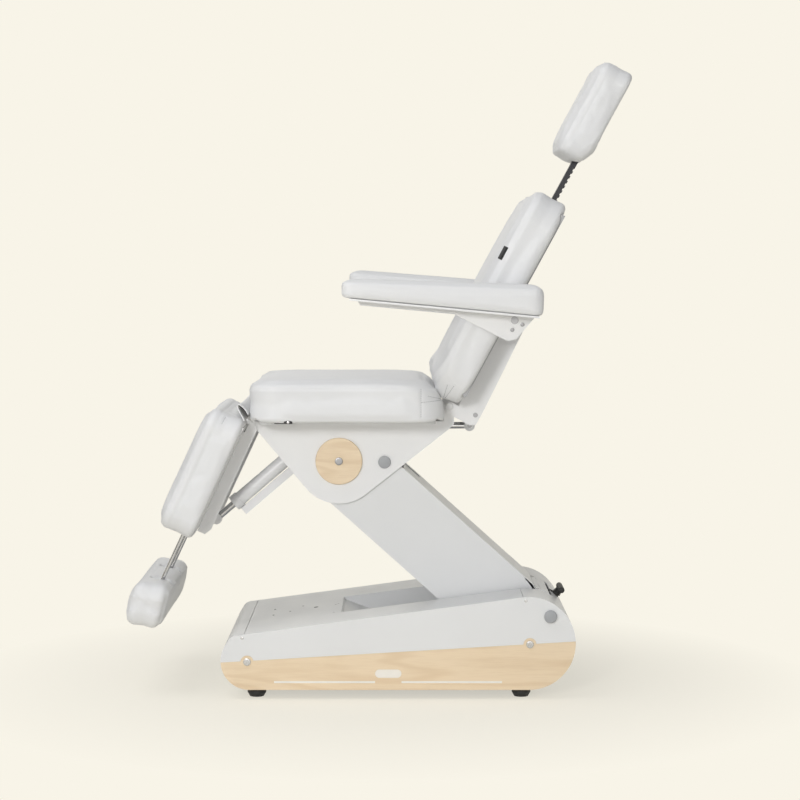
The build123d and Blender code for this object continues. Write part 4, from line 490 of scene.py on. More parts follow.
@dataclass(frozen=True)
class Maple:
    """Clear-varnished maple veneer with long flat figure, pale pores and darker streaks."""

    name: str
    centre: Triple = (0.0, 0.0, 0.0)
    light: Colour = (0.80, 0.645, 0.45)
    middle: Colour = (0.74, 0.575, 0.385)
    dark: Colour = (0.645, 0.475, 0.30)
    stretch: float = 0.12
    pores: Triple = (0.05, 1.0, 1.0)
    pore_depth: float = 0.1 * MM
    rings: float = 62.0

    def make(self) -> bpy.types.Material:
        """Lays out the finish."""
        sheet = SurfaceSheet(self.name, Specular_IOR_Level=0.5, Coat_Weight=0.25, Coat_Roughness=0.18)
        plank = sheet.mapped(Location=self.centre, Scale=(self.stretch, 1.0, 1.0))
        figure = sheet.noise(plank, 9.0, 2.5, 0.45)
        rings = sheet.calculate("SINE", sheet.calculate("MULTIPLY", figure, self.rings))
        band = sheet.reach(rings, -1.0, 1.0, 0.0, 1.0)
        colour = sheet.ramp(band, 0.0, self.middle, 0.55, self.light)
        streak = sheet.reach(sheet.noise(plank, 26.0, 5.0, 0.6), 0.52, 0.75, 0.0, 0.55)
        colour = sheet.tint(streak, colour, self.dark)
        hair = sheet.noise(sheet.mapped(Scale=self.pores), 520.0, 2.0)
        colour = sheet.tint(sheet.reach(hair, 0.45, 0.75, 0.0, 0.22), colour, self.dark)
        normal = sheet.bump(hair, 0.08, self.pore_depth)
        return sheet.finish(colour, sheet.reach(hair, 0.3, 0.7, 0.36, 0.46), normal)


@dataclass(frozen=True)
class TurnedMetal:
    """Bare or plated metal with fine tool lines."""

    name: str
    colour: Colour
    rough: float
    line_depth: float = 0.05 * MM

    def make(self) -> bpy.types.Material:
        """Lays out the finish."""
        sheet = SurfaceSheet(self.name, Metallic=1.0)
        streak = sheet.noise(sheet.place, 900.0, 3.0)
        cloud = sheet.noise(sheet.place, 40.0, 3.0)
        colour = sheet.ramp(cloud, 0.3, scaled(self.colour, 0.86), 0.7, self.colour)
        rough = sheet.reach(streak, 0.3, 0.7, self.rough * 0.8, self.rough * 1.25)
        return sheet.finish(colour, rough, sheet.bump(streak, 0.05, self.line_depth))


@dataclass(frozen=True)
class Moulded:
    """Moulded plastic or rubber with an eroded spark texture."""

    name: str
    colour: Colour
    rough: float
    grain: float = 1100.0
    strength: float = 0.25
    grain_depth: float = 0.12 * MM

    def make(self) -> bpy.types.Material:
        """Lays out the finish."""
        sheet = SurfaceSheet(self.name, Specular_IOR_Level=0.45)
        spark = sheet.noise(sheet.place, self.grain, 2.0)
        dust = sheet.noise(sheet.place, 30.0, 4.0)
        colour = sheet.ramp(dust, 0.35, self.colour, 0.8, scaled(self.colour, 0.9, 0.02))
        rough = sheet.reach(spark, 0.3, 0.7, self.rough - 0.05, self.rough + 0.06)
        return sheet.finish(colour, rough, sheet.bump(spark, self.strength, self.grain_depth))


@dataclass(frozen=True)
class Woven:
    """A tightly woven label tape."""

    name: str = "label_tape"
    colour: Colour = (0.012, 0.012, 0.013)
    thread_count: float = 900.0
    thread_depth: float = 0.1 * MM

    def make(self) -> bpy.types.Material:
        """Lays out the finish."""
        sheet = SurfaceSheet(self.name, Specular_IOR_Level=0.25, Sheen_Weight=0.2)
        inputs = {"Vector": sheet.place, "Scale": self.thread_count}
        wave = sheet.add("ShaderNodeTexWave", inputs, wave_type="BANDS", bands_direction="Z")
        warp = wave.outputs["Fac"]
        colour = sheet.ramp(warp, 0.2, self.colour, 0.8, scaled(self.colour, 1.0, 0.02))
        rough = sheet.reach(warp, 0.0, 1.0, 0.7, 0.85)
        return sheet.finish(colour, rough, sheet.bump(warp, 0.4, self.thread_depth))


class Finish(Enum):
    """Every finish on the chair."""

    UPHOLSTERY = Upholstery()
    FRAME = PowderCoat("frame_paint", (0.80, 0.80, 0.80))
    COVER = PowderCoat("cover_paint", (0.75, 0.755, 0.755))
    ARM = PowderCoat("arm_paint", (0.74, 0.745, 0.745))
    MAPLE_SIDE = Maple("maple_side")
    MAPLE_DISC = Maple("maple_disc", centre=(0.3, 0.1, 0.35), stretch=0.2)
    INLAY = Moulded("inlay_strip", (0.86, 0.83, 0.77), 0.42)
    STEEL = TurnedMetal("bright_steel", (0.60, 0.60, 0.61), 0.26)
    SCREW = TurnedMetal("screw_steel", (0.30, 0.30, 0.31), 0.34)
    CHROME = TurnedMetal("chrome_plate", (0.62, 0.62, 0.63), 0.09)
    TOOTHED = TurnedMetal("toothed_bar", (0.04, 0.04, 0.044), 0.24)
    GREY = Moulded("grey_caps", (0.36, 0.37, 0.385), 0.44)
    PLASTIC = Moulded("black_plastic", (0.018, 0.018, 0.02), 0.42)
    RUBBER = Moulded("black_rubber", (0.012, 0.012, 0.012), 0.6, 700.0, 0.4)
    # The boards' mid grey is partly their own tone and partly painted shade: it stands for the shade line
    # along the rear edges of the back and head cushions.
    BOARD = Moulded("back_board", (0.42, 0.42, 0.425), 0.62, 300.0, 0.3)
    STEELWORK = PowderCoat("dark_steelwork", (0.05, 0.05, 0.053), 0.5, 0.6)
    TUBE = PowderCoat("tube_paint", (0.86, 0.86, 0.865), 0.24, 0.3)
    RAIL = PowderCoat("rail_paint", (0.84, 0.84, 0.845), 0.4, 0.5)
    LABEL = Woven()
    THREAD = Moulded("sewing_thread", (0.42, 0.425, 0.43), 0.7, 900.0, 0.3)


class Paintbox:
    """Makes each finish once and hands it out."""

    def __init__(self) -> None:
        """Starts with no finish made."""
        self.made: dict[Finish, bpy.types.Material] = {}

    def get(self, finish: Finish) -> bpy.types.Material:
        """The material of a finish."""
        if finish not in self.made:
            self.made[finish] = finish.value.make()
            LOG.info("finish %s", self.made[finish].name)
        return self.made[finish]


NODE_FINISHES: dict[Finish, tuple[str, ...]] = {
    Finish.COVER: ("base_top_cover", "base_front_cap", "base_rear_cap", "well_liner"),
    Finish.MAPLE_SIDE: ("wood_side_near", "wood_side_far"),
    Finish.MAPLE_DISC: ("wood_discs",),
    Finish.INLAY: ("panel_inlays",),
    Finish.STEELWORK: ("base_chassis",),
    Finish.STEEL: ("foot_studs", "base_shafts", "crank_pin", "carrier_pins"),
    Finish.SCREW: ("back_fixings",),
    Finish.RUBBER: ("rubber_feet", "pedal_bush"),
    Finish.PLASTIC: ("control_box", "lift_actuator", "arm_bushes", "head_socket", "seat_catches"),
    Finish.ARM: ("lift_arm",),
    Finish.TUBE: ("leg_actuator_tube", "back_actuator_tube"),
    Finish.RAIL: ("leg_actuator_rail",),
    Finish.FRAME: (
        "hinge_pins", "armrest_shaft", "tie_rod", "carrier_plate_near", "carrier_plate_far",
        "carrier_cross_bars", "carrier_bracket", "leg_frame", "back_frame", "armrest_bracket_near",
        "armrest_bracket_far",
    ),
    Finish.CHROME: ("lift_rod", "leg_actuator_rod", "back_actuator_rod", "foot_rods"),
    Finish.TOOTHED: ("head_bar",),
    # Painted shade: the boards' grey edges stand for the shade line behind the cushions.
    Finish.BOARD: ("back_board", "head_board"),
    Finish.UPHOLSTERY: ("seat_board", "leg_board"),
}


@dataclass(frozen=True)
class Section:
    """The side frame of a moving section: u runs along it from its hinge, t faces the patient."""

    hinge: Place
    along: Place
    towards: Place

    @classmethod
    def tilted(cls, x: float, z: float, degrees: float, rises: bool) -> Section:
        """A section hinged at a place, leaning from the upright and running up or down from its hinge."""
        lean = math.radians(degrees)
        way = 1.0 if rises else -1.0
        return cls((x, z), (way * math.sin(lean), way * math.cos(lean)), (-math.cos(lean), math.sin(lean)))

    def at(self, u: float, y: float, t: float) -> Vector:
        """The place of section coordinates."""
        x = self.hinge[0] + u * self.along[0] + t * self.towards[0]
        z = self.hinge[1] + u * self.along[1] + t * self.towards[1]
        return Vector((x, y, z))

    def read(self, place: Sequence[float]) -> Triple:
        """The section coordinates u, y and t of a place."""
        dx = place[0] - self.hinge[0]
        dz = place[2] - self.hinge[1]
        u = dx * self.along[0] + dz * self.along[1]
        t = dx * self.towards[0] + dz * self.towards[1]
        return (u, place[1], t)


LEVEL = Section((0.0, 0.0), (1.0, 0.0), (0.0, 1.0))
SEAT = Section((0.0, 694.0 * MM), LEVEL.along, LEVEL.towards)
LEG = Section.tilted(-331.6 * MM, 687.9 * MM, 25.0, rises=False)
FOOT = Section.tilted(-571.0 * MM, 262.0 * MM, 38.0, rises=False)
BACK = Section.tilted(174.0 * MM, 720.0 * MM, 28.6, rises=True)


@dataclass(frozen=True)
class Head:
    """A fixing's head: a turned disc with a broken edge and a driver recess."""

    radius: float
    height: float
    edge: float
    recess: Recess = Recess.PLAIN
    drive: float = 0.0
    slot_share: float = 0.42
    slot_rise: float = 1.15
    stretch: Triple = (1.0, 1.0, 1.0)

    def turn(self, name: str) -> Piece:
        """Models the head once, facing up the local z axis with its seat at the origin."""
        cylinder = bpy.ops.mesh.primitive_cylinder_add
        middle = (0.0, 0.0, self.height / 2)
        head = primitive(cylinder, name, vertices=48, radius=self.radius, depth=self.height, location=middle)
        break_edges(head, self.edge, 3)
        if self.recess is Recess.CROSS:
            slot = (self.drive * 2, self.drive * self.slot_share, self.height)
            top = (0.0, 0.0, self.height * self.slot_rise)
            for size in (slot, (slot[1], slot[0], slot[2])):
                blade = primitive(bpy.ops.mesh.primitive_cube_add, "blade", size, size=1.0, location=top)
                self.cut(head, blade)
        elif self.recess is Recess.HEX:
            top = (0.0, 0.0, self.height)
            key = primitive(cylinder, "key", vertices=6, radius=self.drive, depth=self.height, location=top)
            self.cut(head, key)
        smooth_by_angle(head, 30.0)
        head.data.transform(Matrix.Diagonal((*self.stretch, 1.0)))
        return head

    def cut(self, head: Piece, blade: Piece) -> None:
        """Takes a blade out of a head and throws the blade away."""
        add_modifier(head, "BOOLEAN", operation="DIFFERENCE", solver="EXACT", object=blade)
        bpy.data.objects.remove(blade, do_unlink=True)


class Kind(Enum):
    """The kinds of fixings that are seen."""

    PANEL_BOLT = Head(radius=9.3 * MM, height=3.0 * MM, edge=1.0 * MM, recess=Recess.CROSS, drive=4.6 * MM)
    COVER_SCREW = Head(radius=4.0 * MM, height=1.0 * MM, edge=0.4 * MM, recess=Recess.CROSS, drive=2.2 * MM)
    TAIL_SCREW = Head(radius=5.0 * MM, height=1.6 * MM, edge=0.6 * MM, recess=Recess.CROSS, drive=2.6 * MM)
    SHAFT_CAP = Head(radius=16.0 * MM, height=8.5 * MM, edge=3.2 * MM)
    DISC_SCREW = Head(radius=10.0 * MM, height=2.5 * MM, edge=0.8 * MM, recess=Recess.HEX, drive=5.6 * MM)
    TIE_CAP = Head(radius=16.0 * MM, height=7.0 * MM, edge=2.6 * MM)
    ARMREST_SCREW = Head(radius=5.0 * MM, height=1.8 * MM, edge=0.7 * MM, recess=Recess.HEX, drive=2.7 * MM)
    COVER_STUD = Head(radius=2.6 * MM, height=0.7 * MM, edge=0.25 * MM, recess=Recess.HEX, drive=1.5 * MM)
    COVER_PLUG = Head(radius=6.0 * MM, height=0.9 * MM, edge=0.35 * MM, recess=Recess.CROSS, drive=3.2 * MM)
    LATCH_BUTTON = Head(radius=3.6 * MM, height=2.4 * MM, edge=1.2 * MM)
    LATCH_WINDOW = Head(radius=5.0 * MM, height=2.0 * MM, edge=0.8 * MM, stretch=(2.2, 0.8, 1.0))


def facing(place: Vector, outward: Vector, turn: float = 0.0) -> Matrix:
    """The matrix that sets a head on a place, looking outward and turned about its axis."""
    basis = outward.normalized().to_track_quat("Z", "Y").to_matrix().to_4x4()
    return Matrix.Translation(place) @ basis @ Matrix.Rotation(math.radians(turn), 4, "Z")


def both_sides(places: Sequence[Place], y: float, first: float = 20.0, step: float = 31.0) -> list[Spot]:
    """Where fixings go on both sides of the chair.

    Args:
        places: Their places along the chair and up.
        y: How far across the chair their seat is.
        first: How far the first is turned about its axis, in degrees.
        step: How much further each next one is turned.

    Returns:
        Each one's place, the way that it looks, and its turn.
    """
    spots = []
    for side in SIDES:
        for index, (x, z) in enumerate(places):
            spots.append((Vector((x, side * y, z)), Vector((0.0, side, 0.0)), first + step * index))
    return spots


@dataclass
class Dresser:
    """Anything that models pieces and gives them their finish."""

    paint: Paintbox

    def put(self, kind: Kind, spots: Iterable[Spot]) -> list[Piece]:
        """Turns one kind of head and copies it to its spots."""
        name = kind.name.lower()
        master = kind.value.turn(name)
        heads = [copy_at(master, f"{name}_{index}", facing(*spot)) for index, spot in enumerate(spots)]
        bpy.data.objects.remove(master, do_unlink=True)
        return heads

    def gather(self, items: Sequence[Piece], name: str, finish: Finish) -> Piece:
        """Joins items into one piece with one finish."""
        piece = join(items, name)
        dress(piece, self.paint.get(finish))
        return piece


@dataclass
class Fixings(Dresser):
    """Every visible screw, bolt and shaft cap that stands in for a solid one."""

    panel_y: float = 280.0 * MM
    panel_bolts: tuple[Place, ...] = (mm(-331.0, 93.0), mm(372.7, 137.0))
    cover_screws: tuple[Place, ...] = (mm(-343.0, 153.0), mm(362.0, 246.3))
    shaft_cap: Place = mm(423.3, 207.2)
    tail_centre: Place = mm(370.0, 139.3)
    tail_radius: float = 116.5 * MM
    tail_degrees: float = 15.0
    tail_turn: float = 40.0
    tail_y: float = 107.0 * MM
    carrier_pivot: Place = mm(-105.8, 580.5)
    disc_face_y: float = 132.0 * MM
    tie_pivot: Place = mm(10.0, 578.0)
    tie_face_y: float = 124.0 * MM
    armrest_hinge: Place = mm(331.4, 942.9)
    armrest_face_y: float = 289.0 * MM
    armrest_reach: float = 46.0 * MM
    armrest_shift: Place = mm(-3.0, 5.0)
    armrest_ways: tuple[Place, ...] = ((0.48, -0.34), (-0.06, -0.62))
    armrest_turn: float = 25.0

    def build_base(self) -> None:
        """Bolts, cover screws and shaft caps of the base."""
        lean = math.radians(self.tail_degrees)
        outward = Vector((math.sin(lean), 0.0, math.cos(lean)))
        tails = []
        for side in SIDES:
            centre = Vector((self.tail_centre[0], side * self.tail_y, self.tail_centre[1]))
            tails.append((centre + outward * self.tail_radius, outward, self.tail_turn))
        heads = self.put(Kind.PANEL_BOLT, both_sides(self.panel_bolts, self.panel_y))
        heads += self.put(Kind.COVER_SCREW, both_sides(self.cover_screws, self.panel_y))
        heads += self.put(Kind.TAIL_SCREW, tails)
        piece = self.gather(heads, "base_fixings", Finish.STEEL)
        hand_in(piece, Slot.BRIGHT_STEEL, Body.ROOT, "base_screws")
        caps = self.put(Kind.SHAFT_CAP, both_sides((self.shaft_cap,), self.panel_y))
        piece = self.gather(caps, "shaft_caps", Finish.GREY)
        hand_in(piece, Slot.GREY_PLASTIC, Body.ROOT, "base_shaft_caps")

    def build_carrier(self) -> None:
        """Disc screws and tie-rod caps under the seat."""
        screws = self.put(Kind.DISC_SCREW, both_sides((self.carrier_pivot,), self.disc_face_y))
        for head in screws:
            dress(head, self.paint.get(Finish.SCREW))
        caps = self.put(Kind.TIE_CAP, both_sides((self.tie_pivot,), self.tie_face_y))
        for head in caps:
            dress(head, self.paint.get(Finish.GREY))
        hand_in(join(screws + caps, "carrier_fixings"), Slot.GREY_PLASTIC, Body.CARRIER, "carrier_caps")

    def build_armrests(self) -> None:
        """The three screws on each armrest plate."""
        places = [self.armrest_hinge]
        for way in self.armrest_ways:
            shifts = zip(self.armrest_hinge, way, self.armrest_shift)
            places.append(tuple(place + self.armrest_reach * share + shift for place, share, shift in shifts))
        spots = both_sides(places, self.armrest_face_y, first=0.0, step=self.armrest_turn)
        heads = self.put(Kind.ARMREST_SCREW, spots)
        half = len(places)
        for (body, word), own in zip(ARMRESTS.items(), (heads[:half], heads[half:])):
            piece = self.gather(own, f"armrest_fixings_{word}", Finish.SCREW)
            hand_in(piece, Slot.BRIGHT_STEEL, body, f"armrest_screws_{word}")

    def build(self) -> None:
        """Builds all the fixings."""
        self.build_base()
        self.build_carrier()
        self.build_armrests()
        LOG.info("fixings placed")


@dataclass(frozen=True)
class Seam:
    """A sewn line where a straight cut across a section meets a cushion's skin.

    The cut passes through u and t, runs at an angle in the side frame, and is kept between two places along
    itself and outside a distance from the chair's middle.
    """

    u: float
    t: float
    degrees: float
    low: float = -1.0
    high: float = 1.0
    outer: float = 0.0
    depth: float = 1.5 * MM
    width: float = 3.6 * MM
    stitched: bool = True

    def along(self, u: float, t: float) -> float:
        """How far along the cut a place of the section lies."""
        lean = math.radians(self.degrees)
        return (u - self.u) * math.cos(lean) + (t - self.t) * math.sin(lean)

    def across(self, u: float, t: float) -> float:
        """How far from the cut a place of the section lies."""
        lean = math.radians(self.degrees)
        return (t - self.t) * math.cos(lean) - (u - self.u) * math.sin(lean)

    def holds(self, u: float, y: float, t: float) -> bool:
        """Whether a place of the section is on the sewn length."""
        return abs(y) >= self.outer and self.low <= self.along(u, t) <= self.high

    def sink(self, u: float, y: float, t: float) -> float:
        """How deep the skin is drawn in at a place."""
        if not self.holds(u, y, t):
            return 0.0
        gap = self.across(u, t) / self.width
        return self.depth * math.exp(-gap * gap)


@dataclass(frozen=True)
class Thread:
    """The stitches of a seam: how long, how far apart and how thick."""

    stitch: float = 4.2 * MM
    step: float = 5.6 * MM
    radius: float = 0.62 * MM

    def sew(self, lines: Sequence[Sequence[Vector]], name: str) -> Piece | None:
        """Lays short stitches along the lines.

        Args:
            lines: The sewn lines, each as places in order.
            name: The piece's name.

        Returns:
            The stitches as one mesh, or None where the lines are too short for any.
        """
        curve = bpy.data.curves.new(name, "CURVE")
        curve.dimensions = "3D"
        curve.bevel_depth = self.radius
        curve.bevel_resolution = 1
        curve.use_fill_caps = True
        for line in lines:
            travelled = 0.0
            following = 0.0
            for first, second in zip(line, line[1:]):
                run = (second - first).length
                while run > 0.0 and following <= travelled + run:
                    start = first.lerp(second, (following - travelled) / run)
                    way = (second - first).normalized() * self.stitch
                    spline = curve.splines.new("POLY")
                    spline.points.add(2)
                    for knot, share in zip(spline.points, (0.0, 0.5, 1.0)):
                        knot.co = (*(start + way * share), 1.0)
                    following += self.step
                travelled += run
        if not curve.splines:
            return None
        strand = curve_to_mesh(name, curve)
        smooth_all(strand)
        return strand


@dataclass(frozen=True)
class Push:
    """A soft shove of the skin round one line across the section, as firm foam shows at a corner."""

    u: float
    t: float
    reach: float
    along: float
    out: float

    def share(self, u: float, t: float) -> float:
        """How much of the shove a place takes, from 0 to 1."""
        return soft_step(max(1.0 - math.hypot(u - self.u, t - self.t) / self.reach, 0.0))


COVER_CLOTH: dict[str, float | bool] = {
    "quality": 4,
    "mass": 0.3,
    "tension_stiffness": 22.0,
    "compression_stiffness": 22.0,
    "shear_stiffness": 12.0,
    "bending_stiffness": 0.6,
    "use_pressure": True,
}


@dataclass
class Cushion(Dresser):
    """One foam block under its sewn cover: remeshed, blown up a little, shaped, seamed and stitched."""

    node: str
    name: str
    body: Body
    section: Section
    holders: tuple[str, ...]
    seams: tuple[Seam, ...] = ()
    voxel: float = 6.0 * MM
    backing: tuple[str, ...] = ()
    stretch: Place = (1.0, 1.0)
    shift: Place = (0.0, 0.0)
    pushes: tuple[Push, ...] = ()
    fill: float = 0.9
    pressure: float = 4.0
    frames: int = 20
    give: float = 0.4 * MM
    cap: float = 4.0 * MM
    held_within: float = 9.0 * MM
    relax: int = 4
    skin: float = 0.4 * MM
    droop: float = 0.0
    skirt_from: float = 238.0 * MM
    skirt_middle: float = -82.0 * MM
    skirt_half: float = 221.0 * MM
    skirt_soft: float = 18.0 * MM
    skirt_reach: float = 70.0 * MM
    thread: Thread = field(default_factory=Thread)

    def held(self, pad: Piece) -> np.ndarray:
        """Which points lie on a board or bracket and so stay where they are."""
        near = np.zeros(len(pad.data.vertices), dtype=bool)
        for holder in self.holders:
            tree = surface_of(bpy.data.objects[holder])
            for index, vertex in enumerate(pad.data.vertices):
                if not near[index]:
                    near[index] = tree.find_nearest(vertex.co, self.held_within)[0] is not None
        return near

    def blow(self, pad: Piece, near: np.ndarray) -> None:
        """Blows the cover up as cloth over its foam, with the held points pinned."""
        group = pad.vertex_groups.new(name="held")
        group.add([int(index) for index in np.nonzero(near)[0]], 1.0, "REPLACE")
        cloth = pad.modifiers.new("air", "CLOTH")
        for name, value in COVER_CLOTH.items():
            setattr(cloth.settings, name, value)
        cloth.settings.uniform_pressure_force = self.pressure
        cloth.settings.effector_weights.gravity = 0.0
        cloth.settings.vertex_group_mass = group.name
        scene = bpy.context.scene
        for frame in range(1, self.frames + 1):
            scene.frame_set(frame)
        make_active(pad)
        bpy.ops.object.modifier_apply(modifier=cloth.name)
        pad.vertex_groups.clear()
        scene.frame_set(1)

    def swell(self, pad: Piece) -> None:
        """Blows the cover up and keeps only how far it stands out, within the cap."""
        near = self.held(pad)
        start = read_points(pad)
        outward = read_normals(pad)
        self.blow(pad, near)
        rise = np.einsum("ij,ij->i", read_points(pad) - start, outward)
        rise = np.clip(rise, -self.give, self.cap) * ~near
        write_points(pad, start + outward * rise[:, None])

    def fill_out(self, place: Vector, tree: BVHTree) -> Vector:
        """Brings a place of the skin back out to its foam block where the smoothing drew it in."""
        near, normal, _, reach = tree.find_nearest(place)
        if (place - near).dot(normal) < 0.0 and reach > self.skin:
            return place + (near - place) * (1.0 - self.skin / reach)
        return place

    def reshape(self, place: Vector) -> Vector:
        """Stretches, shifts and shoves a place of the skin in its section."""
        u, y, t = self.section.read(place)
        new_u = u * self.stretch[0] + self.shift[0]
        new_t = t * self.stretch[1] + self.shift[1]
        for push in self.pushes:
            share = push.share(u, t)
            new_u += push.along * share
            new_t += push.out * share
        return self.section.at(new_u, y, new_t)

    def hang(self, place: Vector) -> Vector:
        """Lets a place of the skirt that overhangs the board hang a little below it."""
        u, y, t = self.section.read(place)
        past = max(abs(y) - self.skirt_from, abs(u - self.skirt_middle) - self.skirt_half)
        share = min(max(past / self.skirt_soft, 0.0), 1.0)
        share *= min(max(1.0 - t / self.skirt_reach, 0.0), 1.0)
        return place - Vector((0.0, 0.0, self.droop * soft_step(share)))

    def form(self, pad: Piece) -> None:
        """Shapes the whole skin, point by point."""
        tree = surface_of(*(bpy.data.objects[node] for node in (self.node, *self.backing)))
        points = read_points(pad)
        for index, point in enumerate(points):
            points[index] = self.hang(self.reshape(self.fill_out(Vector(point), tree)))
        write_points(pad, points)

    def sink_seams(self, pad: Piece) -> None:
        """Draws the skin in along each seam."""
        points = read_points(pad)
        depth = np.zeros(len(points))
        for index, point in enumerate(points):
            place = self.section.read(point)
            depth[index] = max((seam.sink(*place) for seam in self.seams), default=0.0)
        write_points(pad, points - read_normals(pad) * depth[:, None])

    def skin_lines(self, pad: Piece, seam: Seam) -> list[list[Vector]]:
        """Where a seam's cut meets the skin, as lines of places."""
        twin = copy_at(pad, "cut", Matrix.Identity(4))
        lean = math.radians(seam.degrees)
        origin = self.section.at(0.0, 0.0, 0.0)
        normal = self.section.at(-math.sin(lean), 0.0, math.cos(lean)) - origin
        middle = self.section.at(seam.u, 0.0, seam.t)
        with editing(twin):
            bpy.ops.mesh.bisect(plane_co=middle, plane_no=normal, clear_inner=True, clear_outer=True)
        bpy.ops.object.convert(target="CURVE")
        lines = []
        for spline in twin.data.splines:
            places = [Vector(knot.co[:3]) for knot in spline.points]
            if spline.use_cyclic_u:
                places.append(places[0])
            for held, run in groupby(places, lambda place: seam.holds(*self.section.read(place))):
                line = list(run)
                if held and len(line) > 1:
                    lines.append(line)
        bpy.data.objects.remove(twin, do_unlink=True)
        return lines

    def stitch(self, pad: Piece) -> Piece:
        """Sews the seams over the skin and joins the stitches to the cover."""
        lines = []
        for seam in self.seams:
            if seam.stitched:
                lines += self.skin_lines(pad, seam)
        strand = self.thread.sew(lines, f"{self.name}_stitches")
        dress(pad, self.paint.get(Finish.UPHOLSTERY))
        if strand is None:
            return pad
        dress(strand, self.paint.get(Finish.THREAD))
        return join((pad, strand), self.name)

    def build(self) -> Piece:
        """Makes the cushion from its foam block, puts it in the block's place and returns it."""
        pad = solid_copy(self.node, self.name)
        if self.backing:
            pad = join([pad] + [solid_copy(node, f"{node}_part") for node in self.backing], self.name)
        add_modifier(pad, "REMESH", mode="VOXEL", voxel_size=self.voxel)
        add_modifier(pad, "SMOOTH", factor=0.5, iterations=self.relax)
        self.swell(pad)
        add_modifier(pad, "SMOOTH", factor=0.5, iterations=self.relax)
        add_modifier(pad, "SUBSURF", levels=1, render_levels=1)
        self.form(pad)
        self.sink_seams(pad)
        pad = self.stitch(pad)
        smooth_all(pad)
        hand_in(pad, Slot.UPHOLSTERY, self.body, self.node, *self.backing)
        LOG.info("%s has %d faces", self.name, len(pad.data.polygons))
        return pad


def seat_cushion(paint: Paintbox) -> Cushion:
    """The seat: a flat-sided block with a stitched joint near its rear end."""
    rear = 101.4 * MM
    edge = 215.0 * MM
    side = 262.0 * MM
    seams = (
        Seam(u=0.0, t=78.0 * MM, degrees=0.0, depth=1.0 * MM, stitched=False),
        Seam(u=rear, t=40.0 * MM, degrees=90.0, low=-34.0 * MM, high=42.0 * MM, outer=side),
        Seam(u=rear, t=45.0 * MM, degrees=4.0, low=0.0, high=56.0 * MM, outer=edge, depth=1.2 * MM),
        Seam(u=118.0 * MM, t=60.5 * MM, degrees=-15.0, low=0.0, high=40.0 * MM, outer=edge, depth=0.8 * MM),
    )
    return Cushion(
        paint, "seat_cushion", "seat_cover", Body.CARRIER, SEAT, ("seat_board",), seams,
        stretch=(1.03, 1.0), shift=(1.0 * MM, 0.0), droop=7.0 * MM, fill=0.95,
    )


def back_cushion(paint: Paintbox) -> Cushion:
    """The backrest: a long block with a front facet and gathered folds at its foot."""
    foot = 13.0 * MM
    edge = 205.0 * MM
    thin = 3.0 * MM
    deep = 1.3 * MM
    seams = (
        Seam(u=0.0, t=62.0 * MM, degrees=0.0, depth=0.8 * MM, stitched=False),
        Seam(u=foot, t=23.4 * MM, degrees=-4.6, low=0.0, high=48.0 * MM, outer=edge, depth=deep, width=thin),
        Seam(u=foot, t=26.0 * MM, degrees=14.0, low=0.0, high=40.0 * MM, outer=edge, depth=1.2 * MM),
    )
    pushes = (
        Push(u=56.0 * MM, t=106.0 * MM, reach=62.0 * MM, along=-6.0 * MM, out=15.0 * MM),
        Push(u=6.0 * MM, t=40.0 * MM, reach=46.0 * MM, along=-13.0 * MM, out=4.0 * MM),
    )
    holders = ("back_board", "head_socket")
    return Cushion(paint, "back_cushion", "back_cover", Body.BACK, BACK, holders, seams, pushes=pushes)


def leg_cushion(paint: Paintbox) -> Cushion:
    """The leg rest: a block with a curved seam by the knee."""
    edge = 236.0 * MM
    seams = (
        Seam(u=0.0, t=66.0 * MM, degrees=0.0, depth=0.8 * MM, stitched=False),
        Seam(u=-6.0 * MM, t=52.5 * MM, degrees=3.0, low=0.0, high=36.0 * MM, outer=edge, depth=1.2 * MM),
        Seam(u=-25.0 * MM, t=39.6 * MM, degrees=33.0, low=0.0, high=24.0 * MM, outer=edge, depth=1.2 * MM),
    )
    holders = ("leg_board", "leg_frame", "foot_rods")
    return Cushion(paint, "leg_cushion", "leg_cover", Body.LEG, LEG, holders, seams, shift=(9.0 * MM, 0.0))


def foot_cushion(paint: Paintbox) -> Cushion:
    """The foot pad that the chrome rods run into."""
    half = 40.0 * MM
    crease = Seam(u=30.0 * MM, t=0.0, degrees=90.0, low=-half, high=half, depth=1.0 * MM, stitched=False)
    return Cushion(
        paint, "foot_cushion", "foot_cover", Body.FOOT, FOOT, ("foot_rods",), (crease,),
        voxel=5.0 * MM, backing=("foot_plate",), stretch=(1.16, 1.04), shift=(-2.0 * MM, 0.0),
    )


def head_cushion(paint: Paintbox) -> Cushion:
    """The headrest: a small block with a front facet."""
    facet = Seam(u=0.0, t=52.0 * MM, degrees=0.0, depth=0.8 * MM, stitched=False)
    pushes = (
        Push(u=735.0 * MM, t=12.0 * MM, reach=60.0 * MM, along=-22.0 * MM, out=-8.0 * MM),
        Push(u=682.0 * MM, t=56.0 * MM, reach=30.0 * MM, along=9.0 * MM, out=3.0 * MM),
        Push(u=925.0 * MM, t=82.0 * MM, reach=44.0 * MM, along=5.0 * MM, out=4.0 * MM),
    )
    return Cushion(
        paint, "head_cushion", "head_cover", Body.HEAD, BACK, ("head_board", "head_bar"), (facet,),
        voxel=5.0 * MM, stretch=(1.014, 1.05), shift=mm(-9.5, -4.0), pushes=pushes,
    )


def armrest_cushions(paint: Paintbox) -> list[Cushion]:
    """The two tapered armrest pads."""
    pads = []
    for body, word in ARMRESTS.items():
        names = (f"armrest_pad_{word}", f"armrest_cover_{word}")
        sizes = {"voxel": 4.5 * MM, "cap": 0.9 * MM, "held_within": 7.0 * MM}
        pads.append(Cushion(paint, *names, body, LEVEL, (f"armrest_bracket_{word}",), **sizes))
    return pads


